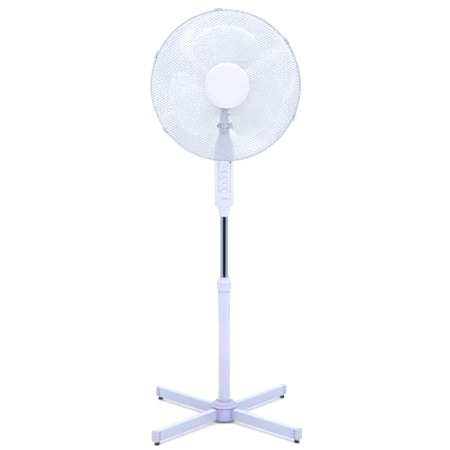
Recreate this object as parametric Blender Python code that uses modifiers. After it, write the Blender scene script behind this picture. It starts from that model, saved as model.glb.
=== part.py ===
"""A pedestal fan on a cross base, as an assembly of separate parts.

Metres, +Z up. The origin is on the floor below the column's axis, and the fan blows towards -Y.
"""

import math

import bmesh
import bpy
from mathutils import Matrix

# ---- Driving dimensions ----
GAP = 0.0003  # running gap between neighbours

LEG_WIDTH = 0.020
LEG_HEIGHT = 0.033
LEG_WALL = 0.0012
LEG_BOTTOM = 0.0105
LEG_END = 0.2868  # where the steel tube stops, from the column's axis
CAP_END = 0.2975  # the tip of the end cap
FOOT_AT = 0.2826
FOOT_RADIUS = 0.0078
LEG_START = 0.0449  # where the top of the steel tube begins, clear of the hub
LEG_MITRE = 0.0050  # how much further out the bottom of the tube begins
HUB_RADIUS = 0.0400
HUB_BOTTOM = 0.0070
COVER_RADIUS = 0.0416

COLUMN_RADIUS = 0.019
COLUMN_BORE = 0.0178
COLUMN_TOP = 0.4003
NUT_RADIUS = 0.022
MAST_RADIUS = 0.012
MAST_WALL = 0.001
MAST_BOTTOM = 0.269
MAST_TOP = 0.6885

HOUSING_BOTTOM = 0.6625
HOUSING_TOP = 0.8695
HOUSING_WALL = 0.0022
BUTTON_HALF = (0.0088, 0.0052)  # half width and half height of an oval button
BUTTON_HEIGHTS = {"high": 0.7070, "medium": 0.7245, "low": 0.7420, "off": 0.7595}
TILT_HEIGHT = 0.897

HEAD_HEIGHT = 1.010  # the motor's axis
RIM_PLANE = -0.105  # where the two guards meet
RIM_RADIUS = 0.2084
BLADE_RADIUS = 0.167
LEADING_REACH = 1.10  # how much wider a blade is ahead of its middle
BADGE_RADIUS = 0.0615
CLIP_ANGLES = {"upper_right": 36.0, "top": 96.0, "upper_left": 156.0, "lower_left": 216.0, "lower_right": 336.0}
SCREW_ANGLE = 273.5
SCREW_AT = 0.2136  # the screw's distance from the rim's centre

MOTOR_RADIUS = 0.059
SHAFT_RADIUS = 0.004
WORM_PITCH = 0.0040
WORM_WHEEL_TEETH = 24
WORM_RADIUS = 0.0038
PINION_TEETH = 8
CRANK_TEETH = 32
GEAR_MODULE = 0.0010
LINK_ANCHOR = 0.022  # from the swivel's axis to the link's pin on the neck
SWING = math.radians(38.0)  # how far the head swings each way

# The worm wheel stands beside the shaft, and its pinion drives the crank gear on the centre line.
WHEEL_RADIUS = WORM_WHEEL_TEETH * WORM_PITCH / math.tau
WHEEL_X = WHEEL_RADIUS + WORM_RADIUS
WHEEL_Y = 0.062
GEAR_DISTANCE = GEAR_MODULE * (PINION_TEETH + CRANK_TEETH) / 2
CRANK_Y = WHEEL_Y - math.sqrt(GEAR_DISTANCE**2 - WHEEL_X**2)

COLOURS = {
    "white_plastic": ((0.86, 0.86, 0.90), 0.35, 0.0),
    "white_paint": ((0.80, 0.82, 0.88), 0.30, 0.0),
    "chrome": ((0.80, 0.81, 0.84), 0.08, 1.0),
    "zinc_steel": ((0.62, 0.63, 0.66), 0.35, 1.0),
    "black_rubber": ((0.02, 0.02, 0.02), 0.80, 0.0),
    "copper": ((0.72, 0.34, 0.16), 0.35, 1.0),
    "bronze": ((0.60, 0.42, 0.20), 0.40, 1.0),
    "cast_zinc": ((0.45, 0.46, 0.48), 0.50, 1.0),
    "nylon": ((0.88, 0.87, 0.82), 0.45, 0.0),
    "grey_plastic": ((0.35, 0.37, 0.42), 0.50, 0.0),
}
AXIS_TURN = {"X": (0.0, math.pi / 2, 0.0), "Y": (-math.pi / 2, 0.0, 0.0), "Z": (0.0, 0.0, 0.0)}


# ---- Scene ----
def clear_scene():
    for obj in list(bpy.data.objects):
        bpy.data.objects.remove(obj, do_unlink=True)


def new_collection(name, helper=False):
    collection = bpy.data.collections.new(name)
    collection.hide_render = helper
    bpy.context.scene.collection.children.link(collection)
    return collection


def new_material(name):
    colour, roughness, metallic = COLOURS[name]
    material = bpy.data.materials.new(name)
    material.use_nodes = True
    shader = material.node_tree.nodes["Principled BSDF"]
    shader.inputs["Base Color"].default_value = (*colour, 1.0)
    shader.inputs["Roughness"].default_value = roughness
    shader.inputs["Metallic"].default_value = metallic
    return material


clear_scene()
PARTS = new_collection("pedestal_fan")
CUTTERS = new_collection("cutters", helper=True)
MATERIALS = {name: new_material(name) for name in COLOURS}


def place(name, data, material=None, parent=None):
    """A part with its material, or a helper for Booleans when no material is given."""
    obj = bpy.data.objects.new(name, data)
    if material:
        data.materials.append(MATERIALS[material])
        PARTS.objects.link(obj)
    else:
        obj.hide_render = True
        obj.display_type = "WIRE"
        CUTTERS.objects.link(obj)
    obj.parent = parent
    return obj


def empty(name, location=(0, 0, 0), rotation=(0, 0, 0), parent=None):
    obj = bpy.data.objects.new(name, None)
    obj.location = location
    obj.rotation_euler = rotation
    obj.parent = parent
    PARTS.objects.link(obj)
    return obj


# ---- Shapes ----
def box(name, low, high, material=None, parent=None, bevel=0.0):
    """A box between two corners, its origin at its parent's, with rounded edges."""
    size = [b - a for a, b in zip(low, high)]
    centre = [(a + b) / 2 for a, b in zip(low, high)]
    bm = bmesh.new()
    bmesh.ops.create_cube(bm, size=1.0, matrix=Matrix.Translation(centre) @ Matrix.Diagonal((*size, 1)))
    mesh = bpy.data.meshes.new(name)
    bm.to_mesh(mesh)
    bm.free()
    obj = place(name, mesh, material, parent)
    if bevel:
        round_edges(obj, bevel)
    return obj


def round_edges(obj, width, segments=2):
    modifier = obj.modifiers.new("rounded_edges", "BEVEL")
    modifier.width = width
    modifier.segments = segments
    modifier.limit_method = "ANGLE"
    modifier.angle_limit = math.radians(40)


def rod(name, radius, span, axis="Z", at=(0, 0, 0), material=None, parent=None, segments=16, oval=1.0):
    """A cylinder along axis over span, which is measured from at. Oval stretches its local X."""
    depth = span[1] - span[0]
    middle = Matrix.Translation((0, 0, (span[0] + span[1]) / 2)) @ Matrix.Diagonal((oval, 1, 1, 1))
    bm = bmesh.new()
    bmesh.ops.create_cone(
        bm, cap_ends=True, segments=segments, radius1=radius, radius2=radius, depth=depth, matrix=middle
    )
    mesh = bpy.data.meshes.new(name)
    bm.to_mesh(mesh)
    bm.free()
    mesh.shade_smooth()
    mesh.set_sharp_from_angle(angle=math.radians(40))
    obj = place(name, mesh, material, parent)
    obj.location = at
    obj.rotation_euler = AXIS_TURN[axis]
    return obj


def signed_area(profile):
    pairs = zip(profile, profile[1:] + profile[:1])
    return sum(a[0] * b[1] - b[0] * a[1] for a, b in pairs) / 2


def profile_mesh(name, profile, closed):
    edges = [(i, i + 1) for i in range(len(profile) - 1)]
    if closed:
        edges.append((len(profile) - 1, 0))
    mesh = bpy.data.meshes.new(name)
    mesh.from_pydata([(r, 0, h) for r, h in profile], edges, [])
    return mesh


def spin(obj, steps):
    modifier = obj.modifiers.new("turned", "SCREW")
    modifier.steps = steps
    modifier.render_steps = steps
    modifier.use_merge_vertices = True
    modifier.merge_threshold = 0.00001
    modifier.use_smooth_shade = True


def turned(name, profile, axis="Z", at=(0, 0, 0), material=None, parent=None, steps=20):
    """A solid turned from (radius, height) points. A profile that starts and ends on the axis stays open there."""
    profile = [tuple(point) for point in profile]
    if signed_area(profile) > 0:
        profile.reverse()
    on_axis = profile[0][0] == 0 and profile[-1][0] == 0
    obj = place(name, profile_mesh(name, profile, not on_axis), material, parent)
    obj.location = at
    obj.rotation_euler = AXIS_TURN[axis]
    spin(obj, steps)
    return obj


def combine(obj, operation, tools):
    for tool in tools:
        modifier = obj.modifiers.new(operation.lower(), "BOOLEAN")
        modifier.operation = operation
        modifier.solver = "EXACT"
        modifier.object = tool
    return obj


def cut(obj, *tools):
    return combine(obj, "DIFFERENCE", tools)


def join(obj, *tools):
    return combine(obj, "UNION", tools)


def mesh_from_curve(name, curve, matrix, material=None, parent=None):
    """A curve made a mesh, so that Booleans can use it, with its loose caps welded."""
    temporary = bpy.data.objects.new(name + "_curve", curve)
    CUTTERS.objects.link(temporary)
    graph = bpy.context.evaluated_depsgraph_get()
    mesh = bpy.data.meshes.new_from_object(temporary.evaluated_get(graph))
    bpy.data.objects.remove(temporary)
    bm = bmesh.new()
    bm.from_mesh(mesh)
    bmesh.ops.remove_doubles(bm, verts=bm.verts, dist=0.00001)
    bmesh.ops.recalc_face_normals(bm, faces=bm.faces)
    bm.to_mesh(mesh)
    bm.free()
    mesh.name = name
    obj = place(name, mesh, material, parent)
    obj.matrix_local = matrix
    return obj


def flat_outline(name, points, height, at, material=None, parent=None):
    """A flat outline in X and Y, extruded upwards by height from at."""
    curve = bpy.data.curves.new(name, "CURVE")
    curve.dimensions = "2D"
    curve.fill_mode = "BOTH"
    curve.extrude = height / 2
    spline = curve.splines.new("POLY")
    spline.points.add(len(points) - 1)
    for target, (x, y) in zip(spline.points, points):
        target.co = (x, y, 0, 1)
    spline.use_cyclic_u = True
    raised = Matrix.Translation((at[0], at[1], at[2] + height / 2))
    return mesh_from_curve(name, curve, raised, material, parent)


def gear_points(teeth, pitch_radius, outward, inward, thickness, phase):
    """Tapered teeth with a point at each root: thickness is a tooth's share of the pitch."""
    points = []
    for tooth in range(teeth):
        middle = phase + math.tau * tooth / teeth
        half = math.tau * thickness / (2 * teeth)
        corners = (
            (pitch_radius + outward, -0.6 * half),
            (pitch_radius + outward, 0.6 * half),
            (pitch_radius - inward, math.pi / teeth),
        )
        points += [(r * math.cos(middle + a), r * math.sin(middle + a)) for r, a in corners]
    return points


def helix(name, radius, pitch, turns, wire, start, material=None, parent=None):
    """A right-handed thread about an axis along +Y, starting on the +X side of start."""
    sides = 8
    curve = bpy.data.curves.new(name, "CURVE")
    curve.dimensions = "3D"
    curve.bevel_depth = wire
    curve.bevel_resolution = 1
    curve.use_fill_caps = True
    spline = curve.splines.new("POLY")
    count = sides * turns + 1
    spline.points.add(count - 1)
    for i in range(count):
        angle = math.tau * i / sides
        spline.points[i].co = (radius * math.cos(angle), pitch * i / sides, -radius * math.sin(angle), 1)
    return mesh_from_curve(name, curve, Matrix.Translation(start), material, parent)


def oval_loop(half_width, half_depth, squareness=4.5, points=24):
    """Points round a rounded rectangle."""
    loop = []
    for i in range(points):
        angle = math.tau * (i + 0.5) / points
        c, s = math.cos(angle), math.sin(angle)
        x = half_width * math.copysign(abs(c) ** (2 / squareness), c)
        y = half_depth * math.copysign(abs(s) ** (2 / squareness), s)
        loop.append((x, y))
    return loop


def loft(bm, levels):
    """Rounded rectangles at (height, half width, half depth) levels, skinned from the lowest up."""
    rings = [[bm.verts.new((x, y, z)) for x, y in oval_loop(w, d)] for z, w, d in levels]
    for lower, upper in zip(rings, rings[1:]):
        for i in range(len(lower)):
            j = (i + 1) % len(lower)
            bm.faces.new((lower[i], lower[j], upper[j], upper[i]))
    return rings


def oval_block(name, levels, material=None, parent=None):
    """A solid block of rounded rectangles."""
    bm = bmesh.new()
    rings = loft(bm, levels)
    bm.faces.new(list(reversed(rings[0])))
    bm.faces.new(rings[-1])
    mesh = bpy.data.meshes.new(name)
    bm.to_mesh(mesh)
    bm.free()
    return place(name, mesh, material, parent)


# ---- Base ----
def square_tube(name, start, end, parent):
    """An open-ended rectangular steel tube along its parent's X."""
    low = (start, -LEG_WIDTH / 2, LEG_BOTTOM)
    high = (end, LEG_WIDTH / 2, LEG_BOTTOM + LEG_HEIGHT)
    tube = box(name, low, high, "white_paint", parent)
    bm = bmesh.new()
    bm.from_mesh(tube.data)
    ends = [face for face in bm.faces if abs(face.normal.x) > 0.9]
    bmesh.ops.delete(bm, geom=ends, context="FACES")
    corners = sorted(bm.verts, key=lambda vert: vert.co.x + vert.co.z)
    for vert in corners[:2]:
        vert.co.x += LEG_MITRE
    bm.to_mesh(tube.data)
    bm.free()
    round_edges(tube, 0.0011, segments=1)
    wall = tube.modifiers.new("wall", "SOLIDIFY")
    wall.thickness = LEG_WALL
    wall.offset = -1
    return tube


def make_leg(side, angle):
    """A leg, its end cap and its foot, on an arm that points out from the column."""
    arm = empty(f"arm_{side}", rotation=(0, 0, math.radians(angle)))
    middle = LEG_BOTTOM + LEG_HEIGHT / 2
    latches = [middle - 0.0057, middle + 0.0057]
    latch_at = LEG_END - 0.0067

    tube = square_tube(f"leg_{side}", LEG_START, LEG_END, arm)
    for i, height in enumerate(latches):
        hole = (-LEG_WIDTH, LEG_WIDTH)
        cut(tube, rod(f"{side}_latch_hole_{i}", 0.0019, hole, "Y", (latch_at, 0, height), None, arm, 6))

    inset = LEG_WALL + GAP
    cap = box(
        f"leg_cap_{side}",
        (LEG_END + GAP, -LEG_WIDTH / 2 - 0.0004, LEG_BOTTOM - 0.0002),
        (CAP_END, LEG_WIDTH / 2 + 0.0004, LEG_BOTTOM + LEG_HEIGHT + 0.0004),
        "white_plastic",
        arm,
        bevel=0.0045,
    )
    plug = box(
        f"{side}_cap_plug",
        (LEG_END - 0.022, -LEG_WIDTH / 2 + inset, LEG_BOTTOM + inset),
        (LEG_END + 0.003, LEG_WIDTH / 2 - inset, LEG_BOTTOM + LEG_HEIGHT - inset),
        None,
        arm,
    )
    join(cap, plug)
    reach = LEG_WIDTH / 2 - 0.0005
    for i, height in enumerate(latches):
        join(cap, rod(f"{side}_latch_{i}", 0.0014, (-reach, reach), "Y", (latch_at, 0, height), None, arm, 6))
    for solid in (tube, cap):
        cut(solid, rod(f"{solid.name}_foot_hole", 0.0034, (0.001, 0.0180), "Z", (FOOT_AT, 0, 0), None, arm, 8))

    foot_top = LEG_BOTTOM - 2 * GAP
    foot_profile = [
        (0, foot_top + 0.006),
        (0.003, foot_top + 0.006),
        (0.003, foot_top),
        (FOOT_RADIUS, foot_top),
        (FOOT_RADIUS, 0.002),
        (FOOT_RADIUS - 0.0012, 0),
        (0, 0),
    ]
    turned(f"foot_{side}", foot_profile, at=(FOOT_AT, 0, 0), material="black_rubber", parent=arm, steps=14)


def make_base():
    for side, angle in (("front_left", 225), ("front_right", 315), ("rear_right", 45), ("rear_left", 135)):
        make_leg(side, angle)

    leg_top = LEG_BOTTOM + LEG_HEIGHT
    hub = rod("base_hub", HUB_RADIUS, (HUB_BOTTOM, leg_top), material="white_plastic", segments=28)
    inset = LEG_WALL + GAP
    for i, angle in enumerate((45, 135)):
        low = (-0.070, -LEG_WIDTH / 2 + inset, LEG_BOTTOM + inset)
        high = (0.070, LEG_WIDTH / 2 - inset, leg_top - inset)
        bar = box(f"hub_arm_{i}", low, high)
        bar.rotation_euler.z = math.radians(angle)
        join(hub, bar)
    cut(
        hub,
        rod("column_socket", COLUMN_RADIUS + GAP, (0.015, 0.060), segments=20),
        rod("bolt_bore", SHAFT_RADIUS + GAP, (0, 0.060), segments=16),
        rod("bolt_recess", 0.0095, (0, 0.0120)),
    )
    bolt_profile = [
        (0, 0.0350),
        (0.0040, 0.0350),
        (0.0040, 0.0117),
        (0.0085, 0.0117),
        (0.0085, 0.0076),
        (0, 0.0076),
    ]
    turned("base_bolt", bolt_profile, material="zinc_steel", steps=16)

    lip = COLUMN_RADIUS + 0.0004
    cover_profile = [
        (lip, 0.0600),
        (0.0220, 0.0605),
        (0.0305, 0.0600),
        (0.0335, 0.0575),
        (0.0340, 0.0530),
        (0.0355, 0.0520),
        (0.0393, 0.0515),
        (COVER_RADIUS, 0.0492),
        (COVER_RADIUS, 0.0450),
        (0.0398, 0.0450),
        (0.0392, 0.0482),
        (0.0322, 0.0495),
        (0.0312, 0.0562),
        (0.0220, 0.0578),
        (lip, 0.0575),
    ]
    turned("base_cover", cover_profile, material="white_plastic", steps=28)

    tube_profile = [
        (SHAFT_RADIUS + GAP, 0.0153),
        (COLUMN_RADIUS, 0.0153),
        (COLUMN_RADIUS, COLUMN_TOP),
        (COLUMN_BORE, COLUMN_TOP),
        (COLUMN_BORE, 0.0193),
        (SHAFT_RADIUS + GAP, 0.0193),
    ]
    turned("column_tube", tube_profile, material="white_paint")

    bore = MAST_RADIUS + 0.00035
    bush_profile = [
        (bore, 0.365),
        (COLUMN_BORE - GAP, 0.365),
        (COLUMN_BORE - GAP, COLUMN_TOP + GAP),
        (0.0190, COLUMN_TOP + GAP),
        (0.0190, 0.4024),
        (0.0165, 0.4024),
        (0.0165, 0.4255),
        (0.0147, 0.4262),
        (0.0134, 0.4385),
        (bore, 0.4385),
    ]
    bush = turned("column_bush", bush_profile, material="nylon")
    for i, (x, y) in enumerate(((0.020, 0.0007), (0.0007, 0.020))):
        cut(bush, box(f"collet_slot_{i}", (-x, -y, 0.428), (x, y, 0.450)))


def make_clamp_nut():
    """A round nut with a thin collar, threaded over the bush's split cone."""
    profile = [
        (0.0169, 0.4030),
        (0.0182, 0.4030),
        (0.0196, 0.4045),
        (0.0210, 0.4072),
        (NUT_RADIUS, 0.4105),
        (NUT_RADIUS, 0.4285),
        (0.0200, 0.4325),
        (0.0162, 0.4370),
        (0.0154, 0.4452),
        (0.0128, 0.4452),
        (0.0151, 0.4320),
        (0.0169, 0.4280),
    ]
    turned("clamp_nut", profile, material="white_plastic")


# ---- Mast and control housing ----
HOUSING_LEVELS = (
    (HOUSING_BOTTOM, 0.0282, 0.0270),
    (0.790, 0.0290, 0.0280),
    (0.812, 0.0288, 0.0278),
    (0.830, 0.0275, 0.0265),
    (0.846, 0.0248, 0.0238),
    (0.858, 0.0210, 0.0204),
    (HOUSING_TOP, 0.0168, 0.0168),
)


def housing_half(name, front):
    """The front or rear shell, split down the middle of the housing."""
    bm = bmesh.new()
    loft(bm, HOUSING_LEVELS)
    side = -1 if front else 1
    bmesh.ops.bisect_plane(
        bm,
        geom=bm.verts[:] + bm.edges[:] + bm.faces[:],
        dist=0.000001,
        plane_co=(0, side * GAP / 2, 0),
        plane_no=(0, side, 0),
        clear_inner=True,
    )
    bmesh.ops.recalc_face_normals(bm, faces=bm.faces)
    if sum(face.normal.y * side for face in bm.faces) < 0:
        bmesh.ops.reverse_faces(bm, faces=bm.faces)
    mesh = bpy.data.meshes.new(name)
    bm.to_mesh(mesh)
    bm.free()
    shell = place(name, mesh, "white_plastic")
    wall = shell.modifiers.new("wall", "SOLIDIFY")
    wall.thickness = HOUSING_WALL
    wall.offset = -1
    return shell


def make_buttons(front_shell):
    half_width, half_height = BUTTON_HALF
    for name, height in BUTTON_HEIGHTS.items():
        clear = half_height + 0.00035
        stretch = (half_width + 0.00035) / clear
        window = rod(f"window_{name}", clear, (-0.040, -0.015), "Y", (0, 0, height), segments=14, oval=stretch)
        cut(front_shell, window)
        button = rod(
            f"button_{name}",
            half_height,
            (-0.0312, -0.0222),
            "Y",
            (0, 0, height),
            "white_plastic",
            oval=half_width / half_height,
            segments=14,
        )
        round_edges(button, 0.0009, segments=1)


def make_mast():
    guide_profile = [
        (0, MAST_BOTTOM - 0.007),
        (COLUMN_BORE - GAP, MAST_BOTTOM - 0.007),
        (COLUMN_BORE - GAP, 0.300),
        (MAST_RADIUS + GAP, 0.300),
        (MAST_RADIUS + GAP, MAST_BOTTOM - GAP),
        (0, MAST_BOTTOM - GAP),
    ]
    turned("mast_guide_bush", guide_profile, material="nylon")
    tube_profile = [
        (MAST_RADIUS, MAST_BOTTOM),
        (MAST_RADIUS, MAST_TOP),
        (MAST_RADIUS - MAST_WALL, MAST_TOP),
        (MAST_RADIUS - MAST_WALL, MAST_BOTTOM),
    ]
    turned("mast_tube", tube_profile, material="chrome")

    inner = MAST_RADIUS - MAST_WALL  # the bore is cut after the plate is joined
    socket_profile = [
        (inner, 0.6294),
        (0.0150, 0.6294),
        (0.0157, 0.6400),
        (0.0173, 0.6480),
        (0.0196, 0.6550),
        (0.0215, 0.6595),
        (0.0215, 0.6640),
        (0.0152, 0.6660),
        (0.0152, 0.6910),
        (inner, 0.6910),
    ]
    socket = turned("mast_socket", socket_profile, material="white_plastic")
    plate = ((HOUSING_BOTTOM - 0.0027, 0.0272, 0.0260), (HOUSING_BOTTOM - GAP, 0.0280, 0.0268))
    step = ((HOUSING_BOTTOM - 0.0020, 0.0256, 0.0244), (HOUSING_BOTTOM + 0.0050, 0.0256, 0.0244))
    join(socket, oval_block("socket_plate", plate), oval_block("socket_step", step))
    cut(socket, rod("mast_bore", MAST_RADIUS + GAP, (0.600, 0.700), segments=20))

    front = housing_half("housing_front", front=True)
    make_buttons(front)
    rear = housing_half("housing_rear", front=False)
    gland_at = (0, 0, 0.6790)
    cut(rear, rod("gland_hole", 0.0050, (0.015, 0.040), "Y", gland_at, segments=16))
    gland_profile = [
        (0.0030, 0.0200),
        (0.0046, 0.0200),
        (0.0046, 0.0280),
        (0.0068, 0.0280),
        (0.0068, 0.0305),
        (0.0050, 0.0325),
        (0.0042, 0.0400),
        (0.0030, 0.0400),
    ]
    turned("cord_gland", gland_profile, "Y", gland_at, "white_plastic", steps=12)

    box("switch_block", (-0.011, -0.0180, 0.6960), (0.011, -0.0040, 0.7720), "grey_plastic", bevel=0.0008)
    box("capacitor", (-0.014, 0.0020, 0.7500), (0.014, 0.0200, 0.7880), "grey_plastic", bevel=0.0020)


def make_tilt_joint():
    """The yoke on the housing, its bolt and the knob that clamps it."""
    tilt = (0, 0, TILT_HEIGHT)
    yoke = oval_block(
        "tilt_yoke",
        ((0.8697 + GAP, 0.0166, 0.0166), (0.8735, 0.0160, 0.0160)),
        "white_plastic",
    )
    join(
        yoke,
        oval_block("yoke_plug", ((0.8480, 0.0140, 0.0140), (0.8715, 0.0140, 0.0140))),
        box("yoke_floor", (-0.0095, -0.0100, 0.8720), (0.0095, 0.0100, 0.8857)),
    )
    for side in (-1, 1):
        near, far = sorted((side * 0.0090, side * 0.0150))
        foot = box(f"ear_foot_{near:.3f}", (near, -0.011, 0.8710), (far, 0.011, TILT_HEIGHT))
        ear = rod(f"ear_{near:.3f}", 0.011, (near, far), "X", tilt)
        join(yoke, foot, ear)
    cut(yoke, rod("tilt_bore", SHAFT_RADIUS + GAP, (-0.030, 0.030), "X", tilt, segments=16))

    bolt_profile = [
        (0, -0.0205),
        (0.0060, -0.0195),
        (0.0072, -0.0155),
        (SHAFT_RADIUS, -0.0155),
        (SHAFT_RADIUS, 0.0265),
        (0, 0.0265),
    ]
    turned("tilt_bolt", bolt_profile, "X", tilt, "zinc_steel", steps=16)
    knob_profile = [
        (SHAFT_RADIUS + GAP, 0.0154),
        (0.0080, 0.0154),
        (0.0085, 0.0230),
        (0.0125, 0.0245),
        (0.0125, 0.0360),
        (0.0105, 0.0382),
        (0, 0.0382),
        (0, 0.0275),
        (SHAFT_RADIUS + GAP, 0.0275),
    ]
    turned("tilt_knob", knob_profile, "X", tilt, "white_plastic", steps=16)


# ---- Neck ----
def make_neck():
    tilt = (0, 0, TILT_HEIGHT)
    neck = rod("neck_bracket", 0.0105, (-0.0086, 0.0086), "X", tilt, "white_plastic")
    join(
        neck,
        box("neck_stem", (-0.0080, -0.0095, 0.8990), (0.0080, 0.0095, 0.9150)),
        oval_block("neck_cup", ((0.9089, 0.0135, 0.0105), (0.9180, 0.0130, 0.0112), (0.9385, 0.0108, 0.0108))),
        box("link_arm", (0.0060, -0.0055, 0.9270), (LINK_ANCHOR + 0.0050, 0.0055, 0.9330)),
        rod("link_pin", 0.0030, (0.9300, 0.9427), at=(LINK_ANCHOR, 0, 0), segments=16),
    )
    cut(
        neck,
        rod("swivel_bore", 0.0063, (0.9150, 0.9450)),
        rod("neck_tilt_bore", SHAFT_RADIUS + GAP, (-0.030, 0.030), "X", tilt, segments=16),
    )


def linkage():
    """The crank's radius, the link's length and the crank pin's place at rest, from how far the head swings."""
    reach = [
        math.sqrt(CRANK_Y**2 + LINK_ANCHOR**2 + 2 * CRANK_Y * LINK_ANCHOR * math.sin(swing))
        for swing in (-SWING, SWING)
    ]
    crank = (reach[1] - reach[0]) / 2
    link = (reach[1] + reach[0]) / 2
    distance = math.hypot(CRANK_Y, LINK_ANCHOR)
    corner = math.acos((distance**2 + crank**2 - link**2) / (2 * distance * crank))
    towards_anchor = math.atan2(-CRANK_Y, LINK_ANCHOR)
    angle = towards_anchor + corner
    return crank, link, (crank * math.cos(angle), CRANK_Y + crank * math.sin(angle))


def make_linkage():
    crank_radius, link_length, pin = linkage()
    points = gear_points(CRANK_TEETH, GEAR_MODULE * CRANK_TEETH / 2, 0.0006, 0.0015, 0.36, crank_phase())
    crank = flat_outline("crank_gear", points, 0.0050, (0, CRANK_Y, 0.9432), "nylon")
    cut(crank, rod("crank_bore", 0.0033, (0.930, 0.960), at=(0, CRANK_Y, 0), segments=16))

    angle = math.atan2(pin[1], pin[0] - LINK_ANCHOR)
    bar = box("crank_link", (0, -0.0027, 0), (link_length, 0.0027, 0.0030), "zinc_steel")
    bar.location = (LINK_ANCHOR, 0, 0.9395)
    bar.rotation_euler.z = angle
    for name, at in (("anchor", (LINK_ANCHOR, 0)), ("pin", pin)):
        join(bar, rod(f"link_eye_{name}", 0.0058, (0.9395, 0.9425), at=(*at, 0), segments=20))
    cut(bar, rod("link_bore", 0.0033, (0.930, 0.950), at=(LINK_ANCHOR, 0, 0), segments=16))


def crank_phase():
    """Turns the crank gear so that a gap faces the pinion's tooth."""
    towards_pinion = math.atan2(WHEEL_Y - CRANK_Y, WHEEL_X)
    return towards_pinion + math.pi / CRANK_TEETH


# ---- Motor head ----
def make_gearbox():
    """The casting behind the motor: rear bracket, worm box, foot plate and swivel post."""
    axis = (0, 0, HEAD_HEIGHT)
    bracket_profile = [
        (0.0083, 0.0370),
        (0.0125, 0.0370),
        (0.0125, 0.0385),
        (0.0385, 0.0365),
        (0.0385, 0.0226),
        (0.0425, 0.0226),
        (0.0425, 0.0385),
        (0.0400, 0.0410),
        (0.0125, 0.0430),
        (0.0125, 0.0480),
        (0.0083, 0.0480),
    ]
    case = turned("gearbox_case", bracket_profile, "Y", axis, "cast_zinc")
    low_z, high_z = HEAD_HEIGHT - 0.0140, HEAD_HEIGHT + 0.0150
    walls = box("worm_box", (-0.0110, 0.0415, low_z), (WHEEL_X + 0.0185, 0.0812, high_z))
    cavity = box("worm_cavity", (-0.0080, 0.0452, low_z + 0.003), (WHEEL_X + 0.0165, 0.0787, high_z + 0.01))
    web = box("case_web", (-0.0100, 0.0500, 0.9520), (0.0060, 0.0620, low_z + 0.001))
    plate = box("foot_plate", (-0.0150, -0.0120, 0.9492), (0.0255, 0.0680, 0.9550))
    join(
        case,
        walls,
        web,
        plate,
        rod("wheel_boss", 0.0058, (0.9520, low_z + 0.001), at=(WHEEL_X, WHEEL_Y, 0), segments=20),
        rod("crank_pin_boss", 0.0030, (0.9440, 0.9520), at=(0, CRANK_Y, 0), segments=16),
        rod("swivel_shoulder", 0.0088, (0.9388, 0.9520), segments=20),
        rod("swivel_post", 0.0060, (0.9170, 0.9400)),
    )
    cut(
        case,
        cavity,
        rod("shaft_bore", 0.0084, (0.0300, 0.0500), "Y", axis, segments=24),
        rod("wheel_bore", 0.0033, (0.9400, low_z + 0.006), at=(WHEEL_X, WHEEL_Y, 0), segments=16),
    )


def make_worm_wheel():
    """The worm wheel, its upright shaft and the pinion that drives the crank gear."""
    at = (WHEEL_X, WHEEL_Y)
    wheel_points = gear_points(WORM_WHEEL_TEETH, WHEEL_RADIUS, 0.0005, 0.0011, 0.25, math.pi)
    wheel = flat_outline("worm_wheel", wheel_points, 0.0030, (*at, HEAD_HEIGHT - 0.0015), "nylon")
    facing = math.atan2(CRANK_Y - WHEEL_Y, -WHEEL_X)
    pinion_points = gear_points(PINION_TEETH, GEAR_MODULE * PINION_TEETH / 2, 0.0006, 0.0009, 0.30, facing)
    join(
        wheel,
        rod("wheel_hub", 0.0060, (HEAD_HEIGHT - 0.0030, HEAD_HEIGHT + 0.0120), at=(*at, 0), segments=20),
        rod("wheel_shaft", 0.0022, (0.9440, HEAD_HEIGHT), at=(*at, 0), segments=16),
        flat_outline("pinion", pinion_points, 0.0050, (*at, 0.9432)),
    )
    cut(wheel, rod("clutch_bore", 0.0030, (HEAD_HEIGHT + 0.0040, HEAD_HEIGHT + 0.0200), at=(*at, 0), segments=16))

    knob_profile = [
        (0, 1.0830),
        (0.0065, 1.0820),
        (0.0085, 1.0790),
        (0.0080, 1.0680),
        (0.0026, 1.0680),
        (0.0026, HEAD_HEIGHT + 0.0050),
        (0, HEAD_HEIGHT + 0.0050),
    ]
    turned("clutch_knob", knob_profile, at=(*at, 0), material="white_plastic", steps=20)


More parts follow.
